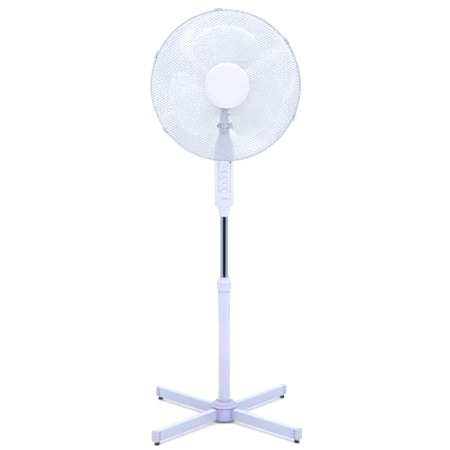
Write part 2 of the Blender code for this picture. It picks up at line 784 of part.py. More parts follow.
def make_motor():
    axis = (0, 0, HEAD_HEIGHT)
    front_profile = [
        (0.0083, -0.0520),
        (0.0159, -0.0520),
        (0.0159, -0.0362),
        (0.0260, -0.0362),
        (0.0270, -0.0315),
        (0.0560, -0.0310),
        (0.0588, -0.0285),
        (0.0588, -0.0220),
        (0.0565, -0.0220),
        (0.0558, -0.0285),
        (0.0425, -0.0285),
        (0.0425, -0.0023),
        (0.0385, -0.0023),
        (0.0385, -0.0285),
        (0.0125, -0.0285),
        (0.0125, -0.0180),
        (0.0083, -0.0180),
    ]
    turned("motor_front_cover", front_profile, "Y", axis, "white_plastic")
    bearing_bore = SHAFT_RADIUS + 0.00015
    for name, start, end in (("bearing_front", -0.0300, -0.0185), ("bearing_rear", 0.0375, 0.0475)):
        profile = [(bearing_bore, start), (0.0080, start), (0.0080, end), (bearing_bore, end)]
        turned(name, profile, "Y", axis, "bronze", steps=20)

    core_profile = [(0.0220, -0.0020), (0.0420, -0.0020), (0.0420, 0.0220), (0.0220, 0.0220)]
    core = turned("stator_core", core_profile, "Y", axis, "zinc_steel")
    ring_profile = [(0.0240, 0), (0.0370, 0), (0.0340, 0.0090), (0.0260, 0.0090)]
    winding = turned(
        "stator_winding", [(r, 0.0223 + h) for r, h in ring_profile], "Y", axis, "copper"
    )
    join(winding, turned("winding_front", [(r, -0.0023 - h) for r, h in ring_profile], "Y", axis))
    for i in range(4):
        angle = math.tau * (i + 0.4) / 4
        at = (0.0300 * math.cos(angle), 0, HEAD_HEIGHT + 0.0300 * math.sin(angle))
        cut(core, rod(f"slot_{i}", 0.0045, (-0.010, 0.030), "Y", at, segments=8))
        join(winding, rod(f"slot_winding_{i}", 0.0040, (-0.0060, 0.0260), "Y", at, segments=8))

    cover_profile = [
        (0, 0.0900),
        (0.0300, 0.0890),
        (0.0455, 0.0840),
        (0.0555, 0.0720),
        (MOTOR_RADIUS, 0.0540),
        (MOTOR_RADIUS, -0.0215),
        (MOTOR_RADIUS - 0.002, -0.0215),
        (MOTOR_RADIUS - 0.002, 0.0535),
        (0.0537, 0.0708),
        (0.0443, 0.0822),
        (0, 0.0878),
    ]
    cover = turned("motor_rear_cover", cover_profile, "Y", axis, "white_plastic", steps=24)
    cut(
        cover,
        box("neck_opening", (-0.0270, -0.0300, 0.9300), (0.0290, 0.0760, 0.9650)),
        rod("knob_hole", 0.0045, (1.0400, 1.0900), at=(WHEEL_X, WHEEL_Y, 0), segments=16),
    )
    for i in range(3):
        height = HEAD_HEIGHT + 0.012 * (i - 1)
        half = 0.028 - 0.004 * abs(i - 1)
        cut(cover, box(f"vent_{i}", (-half, 0.0800, height - 0.0015), (half, 0.1000, height + 0.0015)))


# ---- Rotor ----
def make_rotor():
    axis = (0, 0, HEAD_HEIGHT)
    shaft_profile = [
        (0, -0.1580),
        (0.0030, -0.1580),
        (0.0030, -0.1400),
        (SHAFT_RADIUS, -0.1400),
        (SHAFT_RADIUS, 0.0480),
        (0.0030, 0.0485),
        (0.0030, 0.0730),
        (0, 0.0730),
    ]
    shaft = turned("motor_shaft", shaft_profile, "Y", axis, "zinc_steel", steps=12)
    turns = 3
    start = (0, WHEEL_Y - WORM_PITCH * turns / 2, HEAD_HEIGHT)
    join(shaft, helix("worm_thread", 0.0034, WORM_PITCH, turns, 0.0009, start))

    core_profile = [(SHAFT_RADIUS + GAP, -0.0030), (0.0204, -0.0030), (0.0204, 0.0230), (SHAFT_RADIUS + GAP, 0.0230)]
    turned("rotor_core", core_profile, "Y", axis, "zinc_steel")

    nut_profile = [
        (0, -0.1720),
        (0.0090, -0.1705),
        (0.0150, -0.1640),
        (0.0170, -0.1550),
        (0.0175, -0.1405),
        (0.0034, -0.1405),
        (0.0034, -0.1600),
        (0, -0.1600),
    ]
    turned("blade_nut", nut_profile, "Y", axis, "white_plastic", steps=16)
    make_fan_blade(axis)


def blade_half_angle(radius):
    """Half the angle that a blade spans at this radius: broad, narrower at the root, rounded at the tip."""
    root = 1 - min(1.0, (radius - 0.024) / 0.060)
    spread = math.radians(45 - 15 * root**2)
    tip = max(0.0, (radius - 0.110) / (BLADE_RADIUS + 0.0005 - 0.110))
    return spread * (1 - tip**3) ** (1 / 2.2)


def blade_point(radius, share, middle):
    """A point of the blade's surface. Share runs from -1, the leading edge, to 1, the trailing edge."""
    angle = blade_half_angle(radius) * share
    forward = 0.036 * angle + 0.006 * (1 - share**2)
    turn = middle + angle * (LEADING_REACH if share < 0 else 1.0)
    return (radius * math.cos(turn), RIM_PLANE - forward, radius * math.sin(turn))


def make_fan_blade(axis):
    hub_profile = [
        (SHAFT_RADIUS + GAP, -0.1400),
        (0.0220, -0.1400),
        (0.0240, -0.1360),
        (0.0240, -0.0600),
        (0.0215, -0.0600),
        (0.0215, -0.1340),
        (0.0080, -0.1340),
        (0.0080, -0.1040),
        (SHAFT_RADIUS + GAP, -0.1040),
    ]
    hub = turned("fan_blade", hub_profile, "Y", axis, "white_plastic", steps=16)
    stations, chords = 7, 5
    inner = 0.0227
    for number in range(3):
        middle = math.radians(90 + 120 * number)
        bm = bmesh.new()
        bmesh.ops.create_grid(bm, x_segments=stations, y_segments=chords, size=1.0)
        for vert in bm.verts:
            along = math.sin(math.pi / 4 * (vert.co.x + 1))
            radius = inner + (BLADE_RADIUS - inner) * along
            vert.co = blade_point(radius, vert.co.y, middle)
        mesh = bpy.data.meshes.new(f"blade_{number}")
        bm.to_mesh(mesh)
        bm.free()
        blade = place(f"blade_{number}", mesh)
        blade.location = axis
        skin = blade.modifiers.new("thickness", "SOLIDIFY")
        skin.thickness = 0.0018
        skin.offset = 0
        join(hub, blade)


# ---- Guards ----
def dome_profile(depth, squareness, inner_radius, rows):
    """From the rim to the centre: a squared-off dome. Depth is signed, along Y."""
    last = math.acos((inner_radius / RIM_RADIUS) ** (squareness / 2))
    points = []
    for i in range(rows + 1):
        angle = last * i / rows
        radius = RIM_RADIUS * math.cos(angle) ** (2 / squareness)
        points.append((radius, depth * math.sin(angle) ** (2 / squareness)))
    return points


def wire_dome(name, offset, depth, squareness, inner_radius, material):
    at = (0, RIM_PLANE + offset, HEAD_HEIGHT)
    obj = place(name, profile_mesh(name, dome_profile(depth, squareness, inner_radius, 3), False), material)
    obj.location = at
    obj.rotation_euler = AXIS_TURN["Y"]
    spin(obj, 16)
    wires = obj.modifiers.new("wires", "WIREFRAME")
    wires.thickness = 0.0024
    wires.use_boundary = True
    wires.use_replace = True
    wires.use_relative_offset = False
    return obj


def make_guards():
    axis = (0, 0, HEAD_HEIGHT)
    front = wire_dome("guard_front", -0.0017, -0.0716, 2.6, 0.0575, "white_paint")
    plate = [(0.0400, -0.1786), (0.0600, -0.1786), (0.0600, -0.1764), (0.0400, -0.1764)]
    join(front, turned("front_centre_plate", plate, "Y", axis, steps=16))

    rear = wire_dome("guard_rear", 0.0017, 0.0668, 2.4, 0.0500, "white_paint")
    plate = [(0.0163, -0.0386), (0.0530, -0.0386), (0.0530, -0.0366), (0.0163, -0.0366)]
    join(rear, turned("rear_centre_plate", plate, "Y", axis, steps=16))

    nut_profile = [
        (0.0163, -0.0490),
        (0.0240, -0.0490),
        (0.0270, -0.0460),
        (0.0285, -0.0390),
        (0.0163, -0.0390),
    ]
    turned("guard_nut", nut_profile, "Y", axis, "white_plastic")

    badge_profile = [
        (0, -0.1905),
        (0.0300, -0.1900),
        (0.0515, -0.1885),
        (0.0590, -0.1862),
        (BADGE_RADIUS, -0.1838),
        (BADGE_RADIUS, -0.1792),
        (0.0598, -0.1792),
        (0.0582, -0.1834),
        (0.0500, -0.1860),
        (0, -0.1880),
    ]
    turned("guard_badge", badge_profile, "Y", axis, "white_plastic", steps=28)
    make_rim()


def make_rim():
    """The band round the guards, its five hinged clips and the locking screw."""
    centre = (0, RIM_PLANE, HEAD_HEIGHT)
    band_profile = [(0.2111, -0.0085), (0.2137, -0.0075), (0.2137, 0.0045), (0.2111, 0.0050)]
    band = turned("guard_rim", band_profile, "Y", centre, "white_plastic", steps=36)
    hinge = (0.2158, -0.0085)  # radius and height of a clip's hinge, from the rim's centre
    for name, degrees in CLIP_ANGLES.items():
        spoke = empty(f"spoke_{name}", centre, (0, -math.radians(degrees), 0))
        for side in (-1, 1):
            near, far = sorted((side * 0.0114, side * 0.0134))
            join(band, box(f"lug_{name}_{side}", (0.2119, -0.0105, near), (0.2175, -0.0060, far), None, spoke))
        pivot = empty(f"clip_pivot_{name}", (hinge[0], hinge[1], 0), (0, 0, 0), spoke)
        clip = rod(f"guard_clip_{name}", 0.0017, (-0.011, 0.011), "Z", (0, 0, 0), "white_plastic", pivot, 10)
        join(
            clip,
            box(f"clip_plate_{name}", (-0.0016, 0.0002, -0.0105), (0.0006, 0.0165, 0.0105), None, pivot),
            box(f"clip_hook_{name}", (-0.0070, 0.0142, -0.0080), (-0.0010, 0.0165, 0.0080), None, pivot),
        )
    spoke = empty("spoke_screw", centre, (0, -math.radians(SCREW_ANGLE), 0))
    tab = box("screw_tab", (0.2119, -0.0060, -0.0050), (0.2189, -0.0035, 0.0050), None, spoke)
    join(band, tab)
    cut(
        band,
        rod("screw_hole", 0.0018, (-0.0100, 0.0100), "Y", (SCREW_AT, 0, 0), None, spoke, 12),
        rod("screw_seat", 0.0034, (-0.0120, -0.00605), "Y", (SCREW_AT, 0, 0), None, spoke, 12),
    )
    screw_profile = [(0, -0.0085), (0.0026, -0.0080), (0.0030, -0.0063), (0.0015, -0.0063), (0.0015, 0.0060), (0, 0.0060)]
    turned("guard_screw", screw_profile, "Y", (SCREW_AT, 0, 0), "zinc_steel", spoke, 12)


make_base()
make_clamp_nut()
make_mast()
make_tilt_joint()
make_neck()
make_linkage()
make_gearbox()
make_worm_wheel()
make_motor()
make_rotor()
make_guards()
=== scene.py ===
"""The looks of the pedestal fan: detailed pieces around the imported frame, materials, studio and camera."""

import math

import bmesh
import bpy
from mathutils import Matrix, Vector


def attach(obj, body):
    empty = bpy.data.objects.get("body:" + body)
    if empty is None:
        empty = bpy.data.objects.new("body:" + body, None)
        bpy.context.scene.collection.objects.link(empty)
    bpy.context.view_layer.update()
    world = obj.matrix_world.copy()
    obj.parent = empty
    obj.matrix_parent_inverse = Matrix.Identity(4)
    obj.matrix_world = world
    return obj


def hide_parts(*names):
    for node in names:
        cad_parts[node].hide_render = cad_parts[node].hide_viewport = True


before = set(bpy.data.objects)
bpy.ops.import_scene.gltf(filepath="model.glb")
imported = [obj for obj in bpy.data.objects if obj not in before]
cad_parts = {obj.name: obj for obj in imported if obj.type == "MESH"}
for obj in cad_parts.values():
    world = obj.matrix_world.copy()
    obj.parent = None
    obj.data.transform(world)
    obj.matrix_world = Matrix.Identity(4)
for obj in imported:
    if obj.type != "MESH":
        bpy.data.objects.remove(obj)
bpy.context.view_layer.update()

# ---- Dimensions in metres, angles in degrees ----
HEAD_HEIGHT = 1.01
RIM_PLANE = -0.105
RIM_RADIUS = 0.2084
BLADE_RADIUS, BLADE_HUB_RADIUS, BLADE_TIP_START = 0.167, 0.024, 0.11
BLADE_HALF_SPREAD, BLADE_ROOT_LOSS, LEADING_REACH = 45, 15, 1.1
BLADE_PITCH, BLADE_CAMBER, BLADE_HALF_THICKNESS = 0.036, 0.006, 0.0009
BADGE_RADIUS = 0.0615
TILT_HEIGHT = 0.897
MOTOR_RADIUS, NOSE_BORE = 0.059, 0.0163
EAR_SCREWS = (-0.004, 0.004)
EAR_MIDDLE, EAR_RADIUS, EAR_EDGE = 0.0114, 0.011, 0.0008
LEG_BOTTOM, LEG_HEIGHT, LEG_WIDTH, LEG_WALL = 0.0105, 0.033, 0.02, 0.0012
LEG_START, LEG_MITRE, LEG_END, CAP_END, FOOT_AT = 0.0449, 0.005, 0.2868, 0.2975, 0.2826
LATCH_BACK, LATCH_STEP, LATCH_RADIUS = 0.0067, 0.0086, 0.0021
HUB_RADIUS = 0.04
GAP = 0.0003
SQUARENESS = 4.5
SHELL_WALL = 0.0022
PANEL_BOTTOM, PANEL_TOP = 0.6975, 0.864
GLAND_HEIGHT = 0.679
SHELL_SCREWS = [0.715 + 0.08 * i for i in range(2)]
BUTTON_HALF = (0.0088, 0.0052)
BUTTONS = {"high": 0.707, "medium": 0.7245, "low": 0.742, "off": 0.7595}
SLOT_HEIGHT = 0.6842
CLIPS = {"upper_right": 36.0, "top": 96.0, "upper_left": 156.0, "lower_left": 216.0, "lower_right": 336.0}
SCREW_ANGLE = 273.5
SCREW_AT = 0.2136
LEGS = {"front_left": 225, "front_right": 315, "rear_right": 45, "rear_left": 135}
WHEEL_X, WHEEL_Y = 0.019079, 0.062
STRAND_SPACING = 0.0062
STRAND_RADIUS = {"front": 0.00064, "rear": 0.00072}
STRAND_STEP = 0.0075
NET_LIFT = 0.0003
RING_RADIUS = 0.0012
# Each dome's offset from the rim's plane, its depth and its squareness, then the radius of its opening.
DOMES = {"front": (-0.0017, -0.0716, 2.6), "rear": (0.0017, 0.0668, 2.4)}
OPENINGS = {"front": 0.057, "rear": 0.052}
CLIP_PIVOT = (0.2158, -0.0085, 0)
HEAD_AXIS = (0, 0, HEAD_HEIGHT)
BACKDROP_STRENGTH = 1.05
CAMERA_AT = (-0.1126, -2.6536, 0.958)
CAMERA_PITCH, CAMERA_PAN = 7.618, -2.482
LENS, SENSOR = 71.8, 36.0

# Half width and half depth of the control housing at each height.
HOUSING_KEYS = (
    (0.6625, 0.0276, 0.0264), (0.6645, 0.0282, 0.027), (0.7, 0.0285, 0.0274), (0.79, 0.029, 0.028),
    (0.812, 0.0288, 0.0278), (0.83, 0.0275, 0.0265), (0.846, 0.0248, 0.0238), (0.858, 0.021, 0.0204),
    (0.8695, 0.0168, 0.0168),
)


# ---- Materials ----
def set_inputs(made, **inputs):
    for name, value in inputs.items():
        made.inputs[name.replace("_", " ")].default_value = value


def node(tree, kind, **inputs):
    made = tree.nodes.new("ShaderNode" + kind)
    set_inputs(made, **inputs)
    return made


def noise_into(tree, coords, scale, detail, low, high):
    """Noise as a value between low and high."""
    texture = node(tree, "TexNoise", Scale=scale, Detail=detail, Roughness=0.55)
    tree.links.new(coords.outputs["Object"], texture.inputs["Vector"])
    spread = node(tree, "MapRange", From_Min=0.3, From_Max=0.7, To_Min=low, To_Max=high)
    tree.links.new(texture.outputs["Fac"], spread.inputs["Value"])
    return spread.outputs["Result"]


def surface(name, tints, rough, grain, mottle=14.0, metallic=0.0, coat=0.0, stretch=None, rings=None,
            sss=0.0, painted_shade=None):
    """A procedural finish: two close tints in soft patches, uneven gloss and a fine grain.

    Grain is (scale, depth in metres).
    Stretch scales the grain's coordinates, as for brushing.
    Rings adds turning marks at a scale along Z.
    The painted-shade argument is (low, high, share): below height high the tint darkens, down to this share
    of it at low. This is painted shade that stands in for light falling from above, not a paint feature.
    """
    material = bpy.data.materials.new(name)
    material.use_nodes = True
    tree = material.node_tree
    link = tree.links.new
    shader = tree.nodes["Principled BSDF"]
    set_inputs(shader, Metallic=metallic, Coat_Weight=coat, Coat_Roughness=0.12)
    if sss:
        set_inputs(shader, Subsurface_Weight=sss, Subsurface_Radius=(0.004, 0.003, 0.004))
    coords = node(tree, "TexCoord")
    ramp = node(tree, "ValToRGB")
    ramp.color_ramp.elements[0].color = (*tints[0], 1)
    ramp.color_ramp.elements[1].color = (*tints[1], 1)
    link(noise_into(tree, coords, mottle, 4.0, 0.0, 1.0), ramp.inputs["Fac"])
    tint = ramp.outputs["Color"]
    # Painted shade: the tint darkens below a given height.
    if painted_shade:
        parts = node(tree, "SeparateXYZ")
        link(coords.outputs["Object"], parts.inputs["Vector"])
        low, high, share = painted_shade
        shade_factor = node(tree, "MapRange", From_Min=low, From_Max=high, To_Min=share, To_Max=1.0)
        link(parts.outputs["Z"], shade_factor.inputs["Value"])
        scale = node(tree, "VectorMath")
        scale.operation = "SCALE"
        link(tint, scale.inputs[0])
        link(shade_factor.outputs["Result"], scale.inputs["Scale"])
        tint = scale.outputs["Vector"]
    link(tint, shader.inputs["Base Color"])
    link(noise_into(tree, coords, mottle * 5, 3.0, *rough), shader.inputs["Roughness"])

    texture = node(tree, "TexNoise", Scale=grain[0], Detail=3.0)
    source = coords.outputs["Object"]
    if stretch:
        mapping = node(tree, "Mapping", Scale=stretch)
        link(source, mapping.inputs["Vector"])
        source = mapping.outputs["Vector"]
    link(source, texture.inputs["Vector"])
    height = texture.outputs["Fac"]
    if rings:
        wave = node(tree, "TexWave", Scale=rings, Distortion=1.5, Detail=2.0)
        wave.bands_direction = "Z"
        link(coords.outputs["Object"], wave.inputs["Vector"])
        add = node(tree, "Math")
        link(height, add.inputs[0])
        link(wave.outputs["Fac"], add.inputs[1])
        height = add.outputs["Value"]
    bump = node(tree, "Bump", Strength=0.5, Distance=grain[1])
    link(height, bump.inputs["Height"])
    link(bump.outputs["Normal"], shader.inputs["Normal"])
    return material


WHITE = ((0.7, 0.72, 0.85), (0.74, 0.75, 0.88))
M = {
    # The housing's tint darkens to 84 per cent towards its bottom: painted shade, not a paint feature.
    "housing": surface("housing_moulded", WHITE, (0.24, 0.34), (1400, 0.00005), coat=0.25, sss=0.05,
        painted_shade=(0.672, 0.76, 0.84)),
    "button": surface("button_moulded", ((0.69, 0.69, 0.8), (0.71, 0.72, 0.81)), (0.2, 0.3),
        (1800, 0.00003), coat=0.4),
    "nut": surface("nut_moulded", ((0.475, 0.485, 0.64), (0.505, 0.515, 0.66)), (0.28, 0.4),
        (1500, 0.00006), coat=0.15),
    "socket": surface("socket_moulded", ((0.57, 0.6, 0.71), (0.6, 0.62, 0.72)), (0.26, 0.38),
        (1500, 0.00006), coat=0.15),
    "base": surface("base_moulded", ((0.325, 0.315, 0.56), (0.355, 0.345, 0.59)), (0.26, 0.38),
        (1300, 0.00006), coat=0.2),
    "cover": surface("cover_moulded", ((0.36, 0.36, 0.55), (0.38, 0.38, 0.57)), (0.26, 0.38),
        (1300, 0.00006), coat=0.2),
    "cap": surface("cap_moulded", ((0.345, 0.35, 0.475), (0.365, 0.375, 0.495)), (0.26, 0.38),
        (1500, 0.00005), coat=0.2),
    # The leg's tint is full on the tops and 74 per cent down the sides: painted light on the tops and
    # painted shade on the sides.
    "leg": surface("leg_enamel", ((0.45, 0.5, 0.7), (0.48, 0.535, 0.73)), (0.16, 0.26), (240, 0.00012),
        mottle=9.0, coat=0.5, painted_shade=(0.0412, 0.0432, 0.74)),
    # The column's tint darkens to 82 per cent towards the floor: painted shade.
    "column": surface("column_enamel", ((0.48, 0.487, 0.68), (0.51, 0.518, 0.71)), (0.15, 0.24),
        (260, 0.00012), mottle=8.0, coat=0.5, painted_shade=(0.16, 0.38, 0.82)),
    "motor": surface("motor_moulded", WHITE, (0.24, 0.36), (1100, 0.00007), coat=0.2, sss=0.04),
    # The neck's grey-blue, darker than the housing's white, is painted shade on white plastic; the column
    # bush shares it.
    "neck": surface("neck_moulded_shaded", ((0.5, 0.57, 0.7), (0.55, 0.62, 0.74)), (0.34, 0.48), (1200, 0.00008)),
    "knob": surface("knob_moulded", ((0.544, 0.544, 0.64), (0.592, 0.592, 0.688)), (0.26, 0.38),
        (1500, 0.00006), coat=0.15),
    "wire": surface("wire_coating", ((0.53, 0.58, 0.7), (0.59, 0.635, 0.745)), (0.22, 0.34), (700, 0.00002),
        mottle=20.0, coat=0.3),
    "rim": surface("rim_moulded", ((0.78, 0.84, 0.91), (0.82, 0.87, 0.93)), (0.22, 0.32), (1300, 0.00003),
        coat=0.3),
    # The clip's tint is lighter than the rim's: painted light against the shade in the gaps round the clips.
    "clip": surface("clip_moulded_lightened", ((0.84, 0.88, 0.93), (0.87, 0.9, 0.94)), (0.22, 0.32), (1300, 0.00003),
        coat=0.3),
    "badge": surface("badge_moulded", ((0.645, 0.645, 0.775), (0.665, 0.665, 0.785)), (0.18, 0.28),
        (1600, 0.00006), mottle=6.0, coat=0.4),
    "blade": surface("blade_moulded", ((0.87, 0.88, 0.91), (0.89, 0.9, 0.92)), (0.14, 0.24), (900, 0.00004),
        mottle=7.0, coat=0.5, sss=0.08),
    "chrome": surface("mast_chrome", ((0.59, 0.59, 0.64), (0.64, 0.64, 0.68)), (0.04, 0.09), (500, 0.00002),
        metallic=1.0, stretch=(1, 1, 0.03)),
    "steel": surface("plated_steel", ((0.5, 0.5, 0.52), (0.62, 0.61, 0.6)), (0.24, 0.4), (700, 0.00008),
        mottle=60.0, metallic=1.0),
    "dark_steel": surface("dark_screw", ((0.05, 0.06, 0.11), (0.09, 0.1, 0.16)), (0.28, 0.42),
        (900, 0.00006), metallic=0.8),
    "alloy": surface("cast_alloy", ((0.38, 0.38, 0.42), (0.5, 0.5, 0.53)), (0.42, 0.6), (420, 0.0004),
        mottle=40.0, metallic=0.7),
    # Near-black finish for the insides of the latch holes: painted shade.
    "hole": surface("latch_hole_painted_shade", ((0.02, 0.02, 0.04), (0.04, 0.04, 0.07)), (0.5, 0.7), (900, 0.00005)),
    "rubber": surface("foot_rubber", ((0.01, 0.01, 0.014), (0.022, 0.022, 0.028)), (0.55, 0.75),
        (900, 0.0002)),
    "copper": surface("wound_copper", ((0.42, 0.16, 0.06), (0.62, 0.27, 0.11)), (0.22, 0.36), (500, 0.0002),
        metallic=1.0, rings=260),
    "bronze": surface("sintered_bronze", ((0.44, 0.29, 0.13), (0.56, 0.38, 0.18)), (0.38, 0.52),
        (900, 0.00016), metallic=1.0),
    "nylon": surface("natural_nylon", ((0.74, 0.73, 0.68), (0.8, 0.79, 0.74)), (0.38, 0.5), (900, 0.00012),
        sss=0.08),
    "grey": surface("grey_moulded", ((0.16, 0.17, 0.2), (0.2, 0.21, 0.25)), (0.4, 0.55), (1200, 0.00016)),
}


# ---- Mesh helpers ----
def add_object(name, data):
    obj = bpy.data.objects.new(name, data)
    bpy.context.scene.collection.objects.link(obj)
    return obj


def finish_mesh(bm, name, sharp=38.0):
    bmesh.ops.remove_doubles(bm, verts=bm.verts, dist=0.000002)
    bmesh.ops.recalc_face_normals(bm, faces=bm.faces)
    mesh = bpy.data.meshes.new(name)
    bm.to_mesh(mesh)
    bm.free()
    mesh.shade_smooth()
    mesh.set_sharp_from_angle(angle=math.radians(sharp))
    return mesh


def piece(name, bm, material, body, nodes, sharp=38.0):
    obj = add_object(name, finish_mesh(bm, name, sharp))
    obj.data.materials.append(M[material])
    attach(obj, body)
    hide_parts(*nodes)
    return obj


def fillet(profile, radius, closed=True, steps=3):
    """The profile with its corners rounded, by at most two fifths of a side."""
    count = len(profile)
    rounded = []
    for i, (r, h) in enumerate(profile):
        if not closed and i in (0, count - 1):
            rounded.append((r, h))
            continue
        before = Vector(profile[i - 1])
        here = Vector((r, h))
        after = Vector(profile[(i + 1) % count])
        back, ahead = before - here, after - here
        reach = min(radius, 0.4 * back.length, 0.4 * ahead.length)
        start = here + back.normalized() * reach
        end = here + ahead.normalized() * reach
        for k in range(steps + 1):
            t = k / steps
            point = start * (1 - t) ** 2 + here * 2 * t * (1 - t) + end * t**2
            rounded.append((point.x, point.y))
    return rounded


def on_axis(axis, at, r, angle, h):
    across, up = r * math.cos(angle), r * math.sin(angle)
    offset = {"Z": (across, up, h), "Y": (across, h, up), "X": (h, across, up)}[axis]
    return Vector(at) + Vector(offset)


def revolve(bm, profile, axis="Z", at=(0, 0, 0), steps=72, closed=True, shape=None):
    """Turns (radius, height) points. Shape(r, h, angle) may change the radius, as for grips."""
    rows = []
    for r, h in profile:
        if r < 0.000001:
            rows.append([bm.verts.new(on_axis(axis, at, 0, 0, h))])
            continue
        ring = []
        for i in range(steps):
            angle = math.tau * i / steps
            radius = shape(r, h, angle) if shape else r
            ring.append(bm.verts.new(on_axis(axis, at, radius, angle, h)))
        rows.append(ring)
    pairs = list(zip(rows, rows[1:]))
    if closed:
        pairs.append((rows[-1], rows[0]))
    for a, b in pairs:
        skin(bm, a, b)


def turned(profile, *args, **options):
    """A new mesh of one turned profile."""
    bm = bmesh.new()
    revolve(bm, profile, *args, **options)
    return bm


def skin(bm, a, b):
    if len(a) == 1 and len(b) == 1:
        return
    count = max(len(a), len(b))
    for i in range(count):
        j = (i + 1) % count
        if len(a) == 1:
            bm.faces.new((a[0], b[i], b[j]))
        elif len(b) == 1:
            bm.faces.new((a[i], b[0], a[j]))
        else:
            bm.faces.new((a[i], a[j], b[j], b[i]))


def loft(bm, loops, cap=True):
    rings = [[bm.verts.new(point) for point in loop] for loop in loops]
    for a, b in zip(rings, rings[1:]):
        skin(bm, a, b)
    if cap:
        bm.faces.new(rings[0])
        bm.faces.new(rings[-1])
    return rings


def round_rectangle(half_width, half_height, radius, steps=5):
    """Points round a rectangle with rounded corners, anticlockwise."""
    points = []
    for sx, sy, start in ((1, 1, 0), (-1, 1, 90), (-1, -1, 180), (1, -1, 270)):
        cx, cy = sx * (half_width - radius), sy * (half_height - radius)
        for k in range(steps + 1):
            angle = math.radians(start + 90 * k / steps)
            points.append((cx + radius * math.cos(angle), cy + radius * math.sin(angle)))
    return points


def superellipse(half_width, half_depth, z, squareness=SQUARENESS, count=96):
    loop = []
    for i in range(count):
        angle = math.tau * (i + 0.5) / count
        c, s = math.cos(angle), math.sin(angle)
        x = half_width * math.copysign(abs(c) ** (2 / squareness), c)
        y = half_depth * math.copysign(abs(s) ** (2 / squareness), s)
        loop.append(Vector((x, y, z)))
    return loop


def tube(bm, points, radius, sides=5, closed=False):
    """A round wire through the points."""
    rings = []
    count = len(points)
    side = None
    for i, point in enumerate(points):
        before = points[i - 1] if (closed or i) else points[0]
        after = points[(i + 1) % count] if (closed or i < count - 1) else points[-1]
        along = (after - before).normalized()
        if side is None:
            side = along.orthogonal().normalized()
        side = (side - along * side.dot(along)).normalized()
        up = along.cross(side)
        ring = []
        for k in range(sides):
            angle = math.tau * k / sides
            ring.append(bm.verts.new(point + radius * (side * math.cos(angle) + up * math.sin(angle))))
        rings.append(ring)
    for a, b in zip(rings, rings[1:]):
        skin(bm, a, b)
    if closed:
        skin(bm, rings[-1], rings[0])
    else:
        bm.faces.new(rings[0])
        bm.faces.new(rings[-1])


def rounded_box(bm, low, high, radius, matrix=Matrix(), segments=3):
    size = [b - a for a, b in zip(low, high)]
    centre = [(a + b) / 2 for a, b in zip(low, high)]
    place = Matrix.Translation(centre) @ Matrix.Diagonal((*size, 1))
    made = bmesh.ops.create_cube(bm, size=1.0, matrix=place)
    edges = list({edge for vert in made["verts"] for edge in vert.link_edges})
    result = bmesh.ops.bevel(bm, geom=edges, offset=radius, segments=segments, profile=0.5, affect="EDGES")
    verts = {vert for face in result["faces"] for vert in face.verts}
    verts |= {vert for vert in made["verts"] if vert.is_valid}
    bmesh.ops.transform(bm, matrix=matrix, verts=list(verts))


def apply_cuts(bm, cutters):
    """The mesh with these closed meshes cut out of it."""
    source = add_object("cut_source", finish_mesh(bm, "cut_source"))
    helpers = []
    for cutter in cutters:
        helper = add_object("cutter", finish_mesh(cutter, "cutter"))
        modifier = source.modifiers.new("cut", "BOOLEAN")
        modifier.operation = "DIFFERENCE"
        modifier.solver = "EXACT"
        modifier.object = helper
        helpers.append(helper)
    result = bmesh.new()
    graph = bpy.context.evaluated_depsgraph_get()
    result.from_mesh(bpy.data.meshes.new_from_object(source.evaluated_get(graph)))
    for obj in [source, *helpers]:
        bpy.data.objects.remove(obj)
    return result


def add_mesh(bm, part):
    """Moves another mesh's faces into bm."""
    mesh = bpy.data.meshes.new("part")
    part.to_mesh(mesh)
    bm.from_mesh(mesh)
    part.free()


def bore(radius, low, high, axis="Z", at=(0, 0, 0), steps=32):
    """A closed cylinder along the axis, to cut with."""
    return turned([(0, low), (radius, low), (radius, high), (0, high)], axis, at, steps, False)


def new_box(low, high, radius):
    bm = bmesh.new()
    rounded_box(bm, low, high, radius)
    return bm


def oval(half_width, half_height, y, z, count):
    """Points round an ellipse in a plane that faces the front."""
    points = []
    for i in range(count):
        angle = math.tau * i / count
        points.append(Vector((half_width * math.cos(angle), y, z + half_height * math.sin(angle))))
    return points


def close_ends(bm, rows):
    """Closes the first and last row of a strip whose rows run along its front and back again."""
    half = len(rows[0]) // 2
    for row in (rows[0], rows[-1]):
        for i in range(half - 1):
            bm.faces.new((row[i], row[i + 1], row[-2 - i], row[-1 - i]))


# ---- Base ----
def arm_matrix(angle):
    return Matrix.Rotation(math.radians(angle), 4, "Z")


def leg_section(x, half_width, half_height, radius):
    middle = LEG_BOTTOM + LEG_HEIGHT / 2
    return [Vector((x, y, middle + z)) for y, z in round_rectangle(half_width, half_height, radius)]


